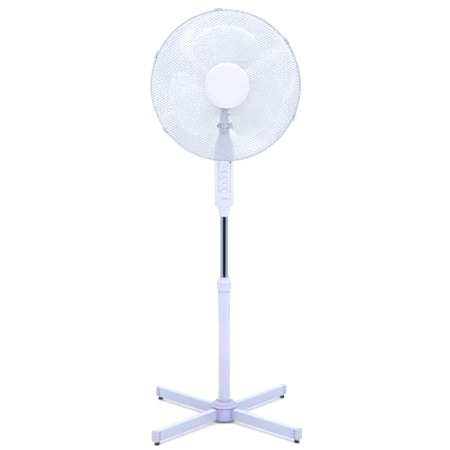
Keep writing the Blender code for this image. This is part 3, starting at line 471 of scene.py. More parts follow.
def make_leg(side, angle):
    turn = arm_matrix(angle)
    half_width, half_height = LEG_WIDTH / 2, LEG_HEIGHT / 2
    leg_top = LEG_BOTTOM + LEG_HEIGHT
    latch_at = LEG_END - LATCH_BACK
    latches = [leg_top - half_height + LATCH_STEP * k for k in (-1, 0, 1)]

    def paint_latch_hole_shade(obj):
        """Paints the insides of the latch holes near black: painted shade for the dark holes."""
        obj.data.materials.append(M["hole"])
        for face in obj.data.polygons:
            at = turn.inverted() @ face.center
            near = min(math.hypot(at.x - latch_at, at.z - height) for height in latches)
            if near < LATCH_RADIUS + 0.0001 and abs(at.y) < half_width - 0.0001:
                face.material_index = 1

    def holes():
        """Latch holes through the sides and one hole for the foot's stem through the bottom."""
        cutters = [bore(LATCH_RADIUS, -0.02, 0.02, "Y", (latch_at, 0, height), 20) for height in latches]
        return [*cutters, bore(0.0034, 0.001, 0.0175, at=(FOOT_AT, 0, 0), steps=24)]

    def mitred(section):
        """The section with its bottom further out than its top."""
        return [Vector((p.x + LEG_MITRE * (leg_top - p.z) / LEG_HEIGHT, p.y, p.z)) for p in section]

    bm = bmesh.new()
    start, end = LEG_START, LEG_END
    outer = (half_width, half_height, 0.0026)
    inner = (half_width - LEG_WALL, half_height - LEG_WALL, 0.0014)
    rings = loft(bm, [mitred(leg_section(start, *outer)), leg_section(end, *outer),
                      leg_section(end, *inner), mitred(leg_section(start, *inner))], cap=False)
    skin(bm, rings[-1], rings[0])
    bm = apply_cuts(bm, holes())
    bmesh.ops.transform(bm, matrix=turn, verts=bm.verts)
    paint_latch_hole_shade(piece(f"leg_tube_{side}", bm, "leg", "base", [f"leg_{side}"]))

    bm = bmesh.new()
    plug = [(end - 0.022, 0.0085, 0.015, 0.001), (end + GAP, 0.0085, 0.015, 0.001)]
    length = CAP_END - end
    head = ((0.0003, 0.0103, 0.0168), (0.0007, 0.0104, 0.0169), (length - 0.005, 0.0104, 0.0168),
            (length - 0.003, 0.01, 0.0164), (length - 0.0014, 0.0089, 0.0153),
            (length - 0.0005, 0.0074, 0.0138), (length - 0.0001, 0.005, 0.0112))
    loops = [leg_section(*station) for station in plug]
    loops += [leg_section(end + x, w, h, min(0.0038, w * 0.7)) for x, w, h in head]
    loft(bm, loops)
    bm = apply_cuts(bm, holes())
    bmesh.ops.transform(bm, matrix=turn, verts=bm.verts)
    paint_latch_hole_shade(piece(f"leg_end_{side}", bm, "cap", "base", [f"leg_cap_{side}"]))

    bm = bmesh.new()
    profile = [(0, 0.0159), (0.003, 0.0159), (0.003, 0.0099), (0.0077, 0.0099), (0.0077, 0.0058),
               (0.0072, 0.0051), (0.0072, 0.0042), (0.0077, 0.0035), (0.0076, 0.0012), (0.0067, 0), (0, 0)]
    centre = turn @ Vector((FOOT_AT, 0, 0))
    revolve(bm, fillet(profile, 0.0006, closed=False), "Z", centre, 36, False)
    piece(f"leg_foot_{side}", bm, "rubber", "base", [f"foot_{side}"])


def make_base():
    for side, angle in LEGS.items():
        make_leg(side, angle)

    bm = bmesh.new()
    top = LEG_BOTTOM + LEG_HEIGHT
    profile = [(0.0095, 0.007), (HUB_RADIUS, 0.007), (HUB_RADIUS, top), (0.0193, top), (0.0193, 0.015),
               (0.0095, 0.015)]
    revolve(bm, fillet(profile, 0.0012), steps=80)
    for angle in (45, 135, 225, 315):
        turn = arm_matrix(angle)
        section = [(0.015, 0.0085, 0.014), (0.068, 0.0083, 0.0138), (0.07, 0.0075, 0.013)]
        loft(bm, [[turn @ point for point in leg_section(x, w, h, 0.0015)] for x, w, h in section])
    piece("base_core", bm, "base", "base", ["base_hub"])

    bm = bmesh.new()
    lip = 0.0194
    profile = [(lip, 0.06), (0.0205, 0.0602), (0.0215, 0.0593), (0.023, 0.0593), (0.024, 0.0603),
               (0.03, 0.06), (0.033, 0.0575), (0.0337, 0.0525), (0.0346, 0.0509), (0.036, 0.0509),
               (0.0371, 0.0518), (0.0393, 0.0515), (0.0412, 0.0496), (0.0416, 0.048), (0.0416, 0.045),
               (0.0398, 0.045), (0.0392, 0.0482), (0.0322, 0.0492), (0.0312, 0.0562), (0.022, 0.0578),
               (lip, 0.0575)]
    revolve(bm, fillet(profile, 0.0012, steps=4), steps=112)
    piece("base_cover_ring", bm, "cover", "base", ["base_cover"])

    profile = [(0.0043, 0.0153), (0.019, 0.0153), (0.019, 0.4003), (0.0178, 0.4003), (0.0178, 0.0193),
               (0.0043, 0.0193)]
    bm = turned(fillet(profile, 0.0004), steps=80)
    piece("column_lower", bm, "column", "base", ["column_tube"])


def make_clamp_nut():
    """Twelve broad grips run round the nut's straight part."""
    def grip(r, h, angle):
        if r < 0.019 or not 0.406 < h < 0.432:
            return r
        ease = min(1.0, (h - 0.406) / 0.004, (0.432 - h) / 0.004)
        ridge = abs(math.sin(6 * angle)) ** 0.5
        return r - 0.0014 * ease * (1 - ridge)

    straight = [(0.022, 0.4106 + 0.0016 * i) for i in range(12)]
    profile = [(0.0169, 0.403), (0.018, 0.403), (0.0188, 0.4036), (0.0197, 0.4048), (0.0206, 0.4064),
               (0.0215, 0.4086), *straight, (0.0217, 0.4296), (0.0208, 0.4312), (0.0194, 0.433),
               (0.018, 0.4344), (0.0167, 0.4362), (0.016, 0.4384), (0.0156, 0.441), (0.0154, 0.4445),
               (0.0148, 0.4452), (0.0128, 0.4452), (0.0151, 0.432), (0.0169, 0.428)]
    bm = turned(profile, steps=216, shape=grip)
    piece("clamp_nut_grip", bm, "nut", "clamp_nut", ["clamp_nut"], sharp=50)


# ---- Mast and control housing ----
def smooth_keys(keys, steps):
    """Catmull-Rom points between the keys."""
    points = []
    last = len(keys) - 1
    for i in range(last):
        a, b, c, d = (Vector(keys[min(max(k, 0), last)]) for k in (i - 1, i, i + 1, i + 2))
        for k in range(steps):
            t = k / steps
            curve = (2 * a - 5 * b + 4 * c - d) * t * t + (3 * b - a - 3 * c + d) * t**3
            points.append(0.5 * (2 * b + (c - a) * t + curve))
    points.append(Vector(keys[-1]))
    return points


HOUSING_CURVE = smooth_keys(HOUSING_KEYS, 7)


def housing_size(z):
    """Half width and half depth at this height."""
    for low, high in zip(HOUSING_CURVE, HOUSING_CURVE[1:]):
        if z <= high[0]:
            t = max(0.0, (z - low[0]) / (high[0] - low[0]))
            return low[1] + t * (high[1] - low[1]), low[2] + t * (high[2] - low[2])
    return HOUSING_CURVE[-1][1], HOUSING_CURVE[-1][2]


def front_face(x, z):
    w, d = housing_size(z)
    return -d * max(0.0, 1 - abs(x / w) ** SQUARENESS) ** (1 / SQUARENESS)


def half_loop(w, d, z, side, count=64):
    """Points from one side of the housing to the other, round its front or rear."""
    loop = []
    for i in range(count + 1):
        angle = math.pi * i / count
        c, s = math.cos(angle), math.sin(angle)
        x = w * math.copysign(abs(c) ** (2 / SQUARENESS), c)
        y = max(d * abs(s) ** (2 / SQUARENESS), GAP / 2)
        loop.append(Vector((x, side * y, z)))
    return loop


def shell(side):
    """The front half (side -1) or rear half (side 1) of the housing."""
    bm = bmesh.new()
    outer, inner = [], []
    for z, w, d in HOUSING_CURVE:
        outer.append(half_loop(w, d, z, side))
        inner.append(half_loop(w - SHELL_WALL, d - SHELL_WALL, z, side))
    rows = []
    for out, inn in zip(outer, inner):
        rows.append([bm.verts.new(p) for p in out] + [bm.verts.new(p) for p in reversed(inn)])
    for a, b in zip(rows, rows[1:]):
        skin(bm, a, b)
    close_ends(bm, rows)
    return bm


def oval_cutter(half_width, half_height, z):
    bm = bmesh.new()
    loft(bm, [oval(half_width, half_height, y, z, 40) for y in (-0.045, -0.012)])
    return bm


def panel_half(z):
    """Half the width of the front panel, which narrows with the shoulders."""
    return 0.016 if z < 0.83 else 0.016 - 0.0062 * ((z - 0.83) / 0.034) ** 1.3


def panel_strip():
    """The raised panel down the front, closed at its back, with rolled edges."""
    bm = bmesh.new()
    rows = []
    for i in range(57):
        z = PANEL_BOTTOM + (PANEL_TOP - PANEL_BOTTOM) * i / 56
        end = min(z - PANEL_BOTTOM, PANEL_TOP - z)
        lift = 0.0009 * (1 - (1 - min(1.0, end / 0.002)) ** 2) ** 0.5
        row_front, row_back = [], []
        for k in range(33):
            share = -1 + 2 * k / 32
            x = panel_half(z) * math.sin(math.pi / 2 * share)
            edge = (1 - abs(share) ** 14) ** 0.5
            y = front_face(x, z)
            row_front.append(bm.verts.new((x, y - lift * edge + 0.0002, z)))
            row_back.append(bm.verts.new((x, y + 0.0012, z)))
        rows.append(row_front + row_back[::-1])
    for a, b in zip(rows, rows[1:]):
        skin(bm, a, b)
    close_ends(bm, rows)
    return bm


def panel_groove(side):
    """A narrow groove beside the panel, 1.5 mm deep."""
    bm = bmesh.new()
    loops = []
    for i in range(29):
        z = PANEL_BOTTOM + (PANEL_TOP - 0.002 - PANEL_BOTTOM) * i / 28
        near, far = panel_half(z) - 0.0002, panel_half(z) + 0.0012
        depth = 0.0015 if 0 < i < 28 else 0.0002
        low, high = front_face(near, z) - 0.006, front_face(far, z) + depth
        corners = ((near, low), (far, low), (far, high), (near, high))
        loops.append([Vector((side * x, y, z)) for x, y in corners])
    loft(bm, loops)
    return bm


def button_cutters():
    """The four button openings, a little wider than the buttons, and the slot below them."""
    half_width, half_height = BUTTON_HALF
    cutters = [oval_cutter(half_width + 0.00035, half_height + 0.00035, z) for z in BUTTONS.values()]
    low, high = (-0.0085, -0.045, SLOT_HEIGHT - 0.0011), (0.0085, -0.0255, SLOT_HEIGHT + 0.0011)
    return [*cutters, new_box(low, high, 0.0003)]


def make_housing():
    bm = apply_cuts(shell(-1), [*button_cutters(), panel_groove(-1), panel_groove(1)])
    add_mesh(bm, apply_cuts(panel_strip(), button_cutters()))
    piece("housing_front_shell", bm, "housing", "mast", ["housing_front"])

    gland = bore(0.005, 0.01, 0.04, "Y", (0, 0, GLAND_HEIGHT), 40)
    posts = [bore(0.0042, 0.0262, 0.04, "Y", (0, 0, height)) for height in SHELL_SCREWS]
    bm = apply_cuts(shell(1), [gland, *posts])
    for height in SHELL_SCREWS:
        head = [(0, 0.0269), (0.0012, 0.0269), (0.0016, 0.0272), (0.003, 0.0272), (0.0034, 0.0266),
                (0.0034, 0.0258), (0, 0.0258)]
        revolve(bm, head, "Y", (0, 0, height), 28, False)
    piece("housing_rear_shell", bm, "housing", "mast", ["housing_rear"])

    half_width, half_height = BUTTON_HALF
    for name, z in BUTTONS.items():
        bm = bmesh.new()
        levels = ((-0.0222, 1.0), (-0.0296, 1.0), (-0.0305, 0.975), (-0.031, 0.92), (-0.0312, 0.82),
                  (-0.031, 0.6), (-0.0308, 0.3))
        insets = [(y, half_height * (1 - size)) for y, size in levels]
        loft(bm, [oval(half_width - inset, half_height - inset, y, z, 56) for y, inset in insets])
        piece(f"push_button_{name}", bm, "button", f"button_{name}", [f"button_{name}"],
              sharp=60)


def make_mast():
    profile = [(0.012, 0.269), (0.012, 0.6885), (0.011, 0.6885), (0.011, 0.269)]
    bm = turned(fillet(profile, 0.0003), steps=96)
    piece("mast_inner_tube", bm, "chrome", "mast", ["mast_tube"])

    bm = bmesh.new()
    bore = 0.0123
    profile = [(bore, 0.6294), (0.0146, 0.6294), (0.015, 0.6301), (0.0153, 0.6338), (0.0147, 0.6343),
               (0.0147, 0.635), (0.0155, 0.6355), (0.0159, 0.6408), (0.0153, 0.6414), (0.0153, 0.6421),
               (0.0163, 0.6427), (0.0172, 0.648), (0.0166, 0.6486), (0.0167, 0.6493), (0.0178, 0.6499),
               (0.0196, 0.655), (0.0214, 0.659), (0.0214, 0.664), (0.0152, 0.666), (0.0152, 0.691),
               (bore, 0.691)]
    revolve(bm, fillet(profile, 0.0004, steps=2), steps=80)
    bottom = 0.6625
    plate = ((bottom - 0.0027, 0.015, 0.015), (bottom - 0.0027, 0.0264, 0.0252),
             (bottom - 0.0022, 0.0273, 0.0261), (bottom - 0.001, 0.0277, 0.0265),
             (bottom - GAP, 0.0277, 0.0265), (bottom - GAP, 0.025, 0.0238), (bottom + 0.005, 0.025, 0.0238),
             (bottom + 0.005, 0.015, 0.015))
    loft(bm, [superellipse(w, d, z) for z, w, d in plate], cap=False)
    piece("mast_socket_cone", bm, "socket", "mast", ["mast_socket"])

    profile = [(0.003, 0.02), (0.0046, 0.02), (0.0046, 0.0282), (0.0068, 0.0282), (0.0068, 0.0303),
               (0.0052, 0.0322), (0.0048, 0.0335), (0.005, 0.0345), (0.0046, 0.0356), (0.0048, 0.0366),
               (0.0043, 0.0378), (0.0042, 0.04), (0.003, 0.04)]
    bm = turned(fillet(profile, 0.0004, steps=2), "Y", (0, 0, GLAND_HEIGHT), 48)
    piece("gland_sleeve", bm, "knob", "mast", ["cord_gland"])


def make_tilt_joint():
    tilt = (0, 0, TILT_HEIGHT)
    bm = bmesh.new()
    base = ((0.848, 0.0138, 0.0138), (0.8698, 0.0138, 0.0138), (0.87, 0.0164, 0.0164),
            (0.8712, 0.0166, 0.0166), (0.8726, 0.0163, 0.0163), (0.8735, 0.0155, 0.0155),
            (0.8737, 0.012, 0.012))
    loft(bm, [superellipse(w, d, z) for z, w, d in base])
    for side in (-1, 1):
        near, far = sorted((side * 0.009, side * 0.015))
        ear = bmesh.new()
        turns = [math.pi * k / 24 for k in range(25)]
        outline = [(EAR_RADIUS * math.cos(a), EAR_RADIUS * math.sin(a)) for a in turns]
        outline += [(-0.0112, -0.01), (-0.0125, -0.0248), (0.0125, -0.0248), (0.0112, -0.01)]
        loops = []
        for x, inset in ((near, EAR_EDGE), (near + EAR_EDGE, 0), (far - EAR_EDGE, 0), (far, EAR_EDGE)):
            scale = 1 - inset / EAR_RADIUS
            heights = [TILT_HEIGHT + (z * scale if z > -0.02 else z) for y, z in outline]
            loops.append([Vector((x, y * scale, height)) for (y, z), height in zip(outline, heights)])
        loft(ear, loops)
        holes = [bore(0.0021, -0.02, -0.002, "Y", (side * EAR_MIDDLE, 0, TILT_HEIGHT + rise), 24)
                 for rise in EAR_SCREWS]
        add_mesh(bm, apply_cuts(ear, holes))
        outer = side * 0.015
        ring = [(0.0048, 0), (0.0086, 0), (0.0084, side * 0.0003), (0.005, side * 0.0003)]
        revolve(bm, [(r, outer + h) for r, h in ring], "X", tilt, 48)
    block = new_box((-0.0095, -0.01, 0.872), (0.0095, 0.01, 0.8857), 0.0008)
    notch = new_box((-0.006, -0.02, 0.8792), (0.006, -0.006, 0.8812), 0.0004)
    add_mesh(bm, apply_cuts(block, [notch]))
    piece("yoke_ears", bm, "neck", "mast", ["tilt_yoke"])

    profile = [(0, -0.0205), (0.003, -0.0204), (0.0055, -0.0197), (0.0069, -0.018), (0.0072, -0.0158),
               (0.0072, -0.0154), (0.004, -0.0154), (0.004, 0.0265), (0, 0.0265)]
    bm = turned(profile, "X", tilt, 40, False)
    for side in (-1, 1):
        for rise in EAR_SCREWS:
            screw = [(0, -0.01), (0.0014, -0.0099), (0.0019, -0.0092), (0.0019, -0.0021), (0, -0.0021)]
            revolve(bm, screw, "Y", (side * EAR_MIDDLE, 0, TILT_HEIGHT + rise), 24, False)
    piece("tilt_pin_and_ear_screws", bm, "dark_steel", "mast", ["tilt_bolt"])

    def lobes(r, h, angle):
        if r < 0.0105 or not 0.024 < h < 0.037:
            return r
        return r * (1 - 0.07 * (0.5 - 0.5 * math.cos(9 * angle)) ** 2)

    profile = [(0.0043, 0.0154), (0.008, 0.0154), (0.0082, 0.016), (0.0084, 0.0228), (0.01, 0.0238),
               (0.0121, 0.0245), (0.0125, 0.0252), (0.0125, 0.029), (0.0125, 0.033), (0.0125, 0.0355),
               (0.0121, 0.0366), (0.0112, 0.0374), (0.0096, 0.0379), (0.008, 0.0376), (0.0074, 0.037),
               (0, 0.0369), (0, 0.0275), (0.0043, 0.0275)]
    bm = turned(profile, "X", tilt, 108, shape=lobes)
    piece("tilt_knob_grip", bm, "knob", "tilt_knob", ["tilt_knob"], sharp=45)


def make_neck():
    tilt = (0, 0, TILT_HEIGHT)
    profile = [(0.0043, -0.0086), (0.0105, -0.0086), (0.0105, 0.0086), (0.0043, 0.0086)]
    bm = turned(fillet(profile, 0.001), "X", tilt, 56)
    stem = ((0.9015, 0.0078, 0.0092), (0.906, 0.0078, 0.009), (0.911, 0.0078, 0.0092))
    loft(bm, [superellipse(w, d, z, 3.2, 72) for z, w, d in stem])
    cup = ((0.9089, 0.013, 0.01), (0.9096, 0.0135, 0.0105), (0.915, 0.0134, 0.011), (0.922, 0.0124, 0.0111),
           (0.931, 0.0113, 0.0109), (0.9375, 0.0108, 0.0107), (0.9385, 0.01, 0.0099))
    loft(bm, [superellipse(w, d, z, 3.4, 72) for z, w, d in smooth_keys(cup, 3)])
    rounded_box(bm, (0.006, -0.0055, 0.927), (0.027, 0.0055, 0.933), 0.0018)
    pin = [(0, 0.93), (0.003, 0.93), (0.003, 0.942), (0.0024, 0.9427), (0, 0.9427)]
    revolve(bm, pin, at=(0.022, 0, 0), steps=32, closed=False)
    piece("neck_stem", bm, "neck", "neck", ["neck_bracket"])


# ---- Motor and rotor ----
def clutch_grip(r, h, angle):
    if r > 0.0079 and h > 1.0688:
        return r * (1 - 0.06 * abs(math.sin(8 * angle)) ** 4)
    return r


def make_motor():
    profile = [(0.0083, -0.052), (0.0152, -0.052), (0.0159, -0.0512), (0.0159, -0.0366), (0.0166, -0.036),
               (0.0256, -0.036), (0.0264, -0.0352), (0.027, -0.0318), (0.0278, -0.0312), (0.038, -0.0311),
               (0.039, -0.03), (0.042, -0.03), (0.043, -0.0311), (0.055, -0.0309), (0.0578, -0.0302),
               (0.0588, -0.0285), (0.0588, -0.022), (0.0565, -0.022), (0.056, -0.028), (0.0425, -0.0285),
               (0.0425, -0.0023), (0.0385, -0.0023), (0.0385, -0.0285), (0.0125, -0.0285), (0.0125, -0.018),
               (0.0083, -0.018)]
    bm = turned(profile, "Y", HEAD_AXIS, 112)
    piece("motor_front_shell", bm, "motor", "head", ["motor_front_cover"])

    bm = bmesh.new()
    outer = [(0, 0.09), (0.03, 0.089), (0.0455, 0.084), (0.0555, 0.072), (MOTOR_RADIUS, 0.054),
             (MOTOR_RADIUS, -0.019), (0.0585, -0.0215)]
    inner = [(0.057, -0.0215), (0.057, 0.0535), (0.0537, 0.0708), (0.0443, 0.0822), (0, 0.0878)]
    profile = fillet(outer, 0.006, closed=False, steps=5) + fillet(inner, 0.006, closed=False, steps=5)
    revolve(bm, profile, "Y", HEAD_AXIS, 112, closed=False)
    cutters = [new_box((-0.027, -0.03, 0.93), (0.029, 0.076, 0.965), 0.004),
               bore(0.0045, 1.04, 1.09, at=(WHEEL_X, WHEEL_Y, 0))]
    for i in range(7):
        offset = 0.0085 * (i - 3)
        half = math.sqrt(0.036**2 - offset**2)
        cutters.append(new_box((-half, 0.078, HEAD_HEIGHT + offset - 0.0014),
                               (half, 0.1, HEAD_HEIGHT + offset + 0.0014), 0.001))
    bm = apply_cuts(bm, cutters)
    for k in range(2):
        groove = [(MOTOR_RADIUS - 0.001, 0), (MOTOR_RADIUS + 0.0003, 0.0004),
                  (MOTOR_RADIUS + 0.0003, 0.0014), (MOTOR_RADIUS - 0.001, 0.0018)]
        start = -0.008 + 0.004 * k
        arc_band(bm, [(r, start + h) for r, h in groove], math.radians(-58), math.radians(238))
    piece("motor_rear_shell", bm, "motor", "head", ["motor_rear_cover"])

    profile = [(NOSE_BORE, -0.049), (0.0232, -0.049), (0.025, -0.0484), (0.0266, -0.0466),
               (0.0272, -0.0452), (0.0285, -0.04), (0.0283, -0.039), (NOSE_BORE, -0.039)]
    bm = turned(profile, "Y", HEAD_AXIS, 120,
            shape=lambda r, h, a: r * (1 - 0.04 * abs(math.sin(6 * a)) ** 8) if r > 0.026 else r)
    piece("guard_nut_ring", bm, "knob", "head", ["guard_nut"], sharp=45)

    profile = [(0, 1.083), (0.004, 1.0829), (0.0066, 1.0822), (0.0082, 1.0806), (0.0085, 1.079),
               (0.0081, 1.069), (0.0076, 1.068), (0.0026, 1.068), (0.0026, 1.015), (0, 1.015)]
    bm = turned(profile, at=(WHEEL_X, WHEEL_Y, 0), steps=60, closed=False,
            shape=clutch_grip)
    piece("clutch_knob_cap", bm, "knob", "clutch_knob", ["clutch_knob"], sharp=45)


def arc_band(bm, profile, start, end, steps=96):
    """A profile turned through part of a circle round the motor's axis, with closed ends."""
    rows = []
    for i in range(steps + 1):
        angle = start + (end - start) * i / steps
        rows.append([bm.verts.new(on_axis("Y", HEAD_AXIS, r, angle, h)) for r, h in profile])
    for a, b in zip(rows, rows[1:]):
        skin(bm, a, b)
    bm.faces.new(rows[0])
    bm.faces.new(rows[-1])


def blade_half_angle(radius):
    """Half the blade's angle at this radius: narrower at the hub and rounded off at the tip."""
    root = 1 - min(1.0, (radius - BLADE_HUB_RADIUS) / 0.06)
    spread = math.radians(BLADE_HALF_SPREAD - BLADE_ROOT_LOSS * root**2)
    tip = max(0.0, (radius - BLADE_TIP_START) / (BLADE_RADIUS + 0.0005 - BLADE_TIP_START))
    return spread * (1 - tip**3) ** (1 / 2.2)


def blade_point(radius, share, middle, lift):
    """A point of the blade: share runs from -1 at one long edge to 1 at the other."""
    angle = blade_half_angle(radius) * share
    forward = BLADE_PITCH * angle + BLADE_CAMBER * (1 - share**2) + lift
    turn = middle + angle * (LEADING_REACH if share < 0 else 1.0)
    return Vector((radius * math.cos(turn), RIM_PLANE - forward, HEAD_HEIGHT + radius * math.sin(turn)))


def make_blades():
    bm = bmesh.new()
    inner, stations, chords = 0.0227, 30, 34
    for number in range(3):
        middle = math.radians(90 + 120 * number)
        faces = []
        for side in (1, -1):
            rows = []
            for i in range(stations):
                radius = inner + (BLADE_RADIUS - inner) * math.sin(math.pi / 2 * i / (stations - 1))
                row = []
                for k in range(chords):
                    share = math.sin(math.pi / 2 * (-1 + 2 * k / (chords - 1)))
                    edge = (1 - abs(share) ** 8) ** 0.5
                    tip = (1 - (i / (stations - 1)) ** 14) ** 0.5
                    lift = side * BLADE_HALF_THICKNESS * edge * tip
                    row.append(bm.verts.new(blade_point(radius, share, middle, lift)))
                rows.append(row)
            for a, b in zip(rows, rows[1:]):
                for k in range(chords - 1):
                    faces.append(bm.faces.new((a[k], a[k + 1], b[k + 1], b[k])))
            if side == 1:
                front_root = rows[0]
            else:
                for k in range(chords - 1):
                    bm.faces.new((front_root[k], front_root[k + 1], rows[0][k + 1], rows[0][k]))
    bmesh.ops.remove_doubles(bm, verts=bm.verts, dist=0.00002)
    profile = [(0.0043, -0.1398), (0.019, -0.1398), (0.0222, -0.1388), (0.0238, -0.1364), (0.024, -0.134),
               (0.024, -0.0606), (0.0234, -0.06), (0.022, -0.06), (0.0215, -0.0606), (0.0215, -0.134),
               (0.008, -0.134), (0.008, -0.104), (0.0043, -0.104)]
    revolve(bm, profile, "Y", HEAD_AXIS, 84)
    piece("fan_blades", bm, "blade", "rotor", ["fan_blade"])

    profile = [(0, -0.172), (0.005, -0.1718), (0.009, -0.1704), (0.0125, -0.1676), (0.015, -0.1636),
               (0.0164, -0.159), (0.0172, -0.153), (0.0175, -0.1405), (0.0034, -0.1405), (0.0034, -0.16),
               (0, -0.16)]
    bm = turned(profile, "Y", HEAD_AXIS, 96, closed=False,
            shape=lambda r, h, a: r * (1 - 0.05 * abs(math.sin(6 * a)) ** 3) if r > 0.014 else r)
    piece("blade_nut_cap", bm, "knob", "rotor", ["blade_nut"], sharp=45)


# ---- Guards ----
def dome_y(r, offset, depth, squareness):
    """Where the dome lies along the fan's axis at this distance from it."""
    return RIM_PLANE + offset + depth * max(0.0, 1 - (r / RIM_RADIUS) ** squareness) ** (1 / squareness)


def strand_runs(offset, inner):
    """Stretches of a strand at this distance from the centre, as (start, end) along it."""
    reach = math.sqrt(max(0.0, (RIM_RADIUS - 0.0002) ** 2 - offset**2))
    if abs(offset) >= inner:
        return [(-reach, reach)]
    hole = math.sqrt(inner**2 - offset**2)
    return [(-reach, -hole), (hole, reach)]


def strand(bm, direction, offset, run, dome, lift, wire):
    start, end = run
    reach = math.sqrt(RIM_RADIUS**2 - offset**2)
    first, last = (math.asin(max(-1.0, min(1.0, t / reach))) for t in (start, end))
    count = max(5, int(abs(last - first) * reach / STRAND_STEP) + 3)
    along = Vector((math.cos(direction), math.sin(direction)))
    across = Vector((-along.y, along.x))
    points = []
    for i in range(count):
        t = reach * math.sin(first + (last - first) * i / (count - 1))
        flat = along * t + across * offset
        y = dome_y(min(flat.length, RIM_RADIUS), *dome)
        points.append(Vector((flat.x, y + lift, HEAD_HEIGHT + flat.y)))
    tube(bm, points, wire)


def ring_wire(bm, radius, y, wire, steps=144, sides=8):
    points = [on_axis("Y", HEAD_AXIS, radius, math.tau * i / steps, y) for i in range(steps)]
    tube(bm, points, wire, sides, closed=True)


def make_guard(name):
    """Two sets of strands that cross, between the rim's ring wire and an inner one."""
    dome, inner = DOMES[name], OPENINGS[name]
    bm = bmesh.new()
    count = int(RIM_RADIUS / STRAND_SPACING)
    for direction, lift in ((math.radians(30), NET_LIFT), (math.radians(-30), -NET_LIFT)):
        for k in range(-count, count + 1):
            offset = (k + 0.25) * STRAND_SPACING
            if abs(offset) > RIM_RADIUS - 0.004:
                continue
            for run in strand_runs(offset, inner):
                strand(bm, direction, offset, run, dome, lift, STRAND_RADIUS[name])
    ring_wire(bm, RIM_RADIUS, RIM_PLANE + dome[0], RING_RADIUS)
    ring_wire(bm, inner, dome_y(inner, *dome), RING_RADIUS)
    return bm


def make_guards():
    bm = make_guard("front")
    plate = [(0.04, -0.1786), (0.0592, -0.1786), (0.0592, -0.1766), (0.04, -0.1766)]
    revolve(bm, fillet(plate, 0.0006), "Y", HEAD_AXIS, 96)
    piece("guard_front_net", bm, "wire", "head", ["guard_front"])

    bm = make_guard("rear")
    plate = [(NOSE_BORE, -0.0386), (0.054, -0.0386), (0.0548, -0.038), (0.0548, -0.0366),
             (NOSE_BORE, -0.0366)]
    revolve(bm, fillet(plate, 0.0004), "Y", HEAD_AXIS, 96)
    for radius in (0.03, 0.042):
        ring_wire(bm, radius, -0.0386, 0.0009, 96, 6)
    piece("guard_rear_net", bm, "wire", "head", ["guard_rear"])

    profile = [(0, -0.19), (0.02, -0.1898), (0.04, -0.1892), (0.05, -0.1886), (0.0545, -0.1881),
               (0.0551, -0.1877), (0.0554, -0.1873), (0.0558, -0.1873), (0.0562, -0.1876), (0.059, -0.1869),
               (0.0604, -0.186), (0.0613, -0.1846), (BADGE_RADIUS, -0.183), (BADGE_RADIUS, -0.1792),
               (0.0598, -0.1792), (0.0588, -0.1836), (0.0495, -0.186), (0, -0.1878)]
    bm = turned(profile, "Y", HEAD_AXIS, 144, closed=False)
    piece("guard_badge_disc", bm, "badge", "head", ["guard_badge"])
    make_rim()


def spoke_matrix(degrees):
    """Local X points out from the rim's centre, Y along the fan's axis and Z round the rim."""
    return Matrix.Translation((0, RIM_PLANE, HEAD_HEIGHT)) @ Matrix.Rotation(-math.radians(degrees), 4, "Y")


def make_rim():
    centre = (0, RIM_PLANE, HEAD_HEIGHT)
    profile = [(0.2111, -0.0085), (0.2117, -0.0087), (0.2133, -0.0079), (0.2137, -0.007), (0.2137, 0.004),
               (0.2132, 0.0048), (0.2115, 0.0051), (0.2111, 0.005), (0.2111, 0.002), (0.2121, 0.001),
               (0.2121, -0.004), (0.2111, -0.005)]
    bm = turned(profile, "Y", centre, 216)
    for degrees in CLIPS.values():
        turn = spoke_matrix(degrees)
        for side in (-1, 1):
            near, far = sorted((side * 0.0114, side * 0.0134))
            rounded_box(bm, (0.2119, -0.0103, near), (0.2171, -0.006, far), 0.001, turn)
    turn = spoke_matrix(SCREW_ANGLE)
    rounded_box(bm, (0.2119, -0.006, -0.005), (0.2189, -0.0035, 0.005), 0.0008, turn)
    piece("guard_rim_band", bm, "rim", "head", ["guard_rim"])

    for name, degrees in CLIPS.items():
        bm = bmesh.new()
        turn = spoke_matrix(degrees) @ Matrix.Translation(CLIP_PIVOT)
        barrel = [(0, -0.011), (0.002, -0.011), (0.002, 0.011), (0, 0.011)]
        revolve(bm, fillet(barrel, 0.0004, False), steps=24, closed=False)
        bmesh.ops.transform(bm, matrix=turn, verts=bm.verts)
        rounded_box(bm, (-0.0016, 0.0002, -0.0105), (0.0006, 0.0165, 0.0105), 0.0007, turn)
        rounded_box(bm, (-0.007, 0.0142, -0.008), (-0.0006, 0.0165, 0.008), 0.0006, turn)
        for k in range(3):
            rounded_box(bm, (0.0002, 0.004 + 0.003 * k, -0.007), (0.0011, 0.0052 + 0.003 * k, 0.007),
                        0.0003, turn)
        piece(f"guard_clip_{name}_lever", bm, "clip", f"clip_{name}", [f"guard_clip_{name}"])

    profile = [(0, -0.0085), (0.0016, -0.0084), (0.0026, -0.0079), (0.003, -0.007), (0.003, -0.0063),
               (0.0015, -0.0063), (0.0015, 0.006), (0, 0.006)]
    bm = turned(profile, "Y", (SCREW_AT, 0, 0), 28, False)
    bmesh.ops.transform(bm, matrix=spoke_matrix(SCREW_ANGLE), verts=bm.verts)
    piece("guard_safety_screw", bm, "dark_steel", "head", ["guard_screw"])


# ---- Frame nodes that stay, with better finishes ----
KEPT = {
    "steel": ["base_bolt", "motor_shaft", "rotor_core", "stator_core", "crank_link"],
    "alloy": ["gearbox_case"],
    "neck": ["column_bush"],
    "nylon": ["mast_guide_bush", "worm_wheel", "crank_gear"],
    "copper": ["stator_winding"],
    "bronze": ["bearing_front", "bearing_rear"],
    "grey": ["switch_block", "capacitor"],
}


def finish_kept_nodes():
    for material, names in KEPT.items():
        for name in names:
            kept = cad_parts[name]
            for slot in kept.material_slots:
                slot.material = M[material]


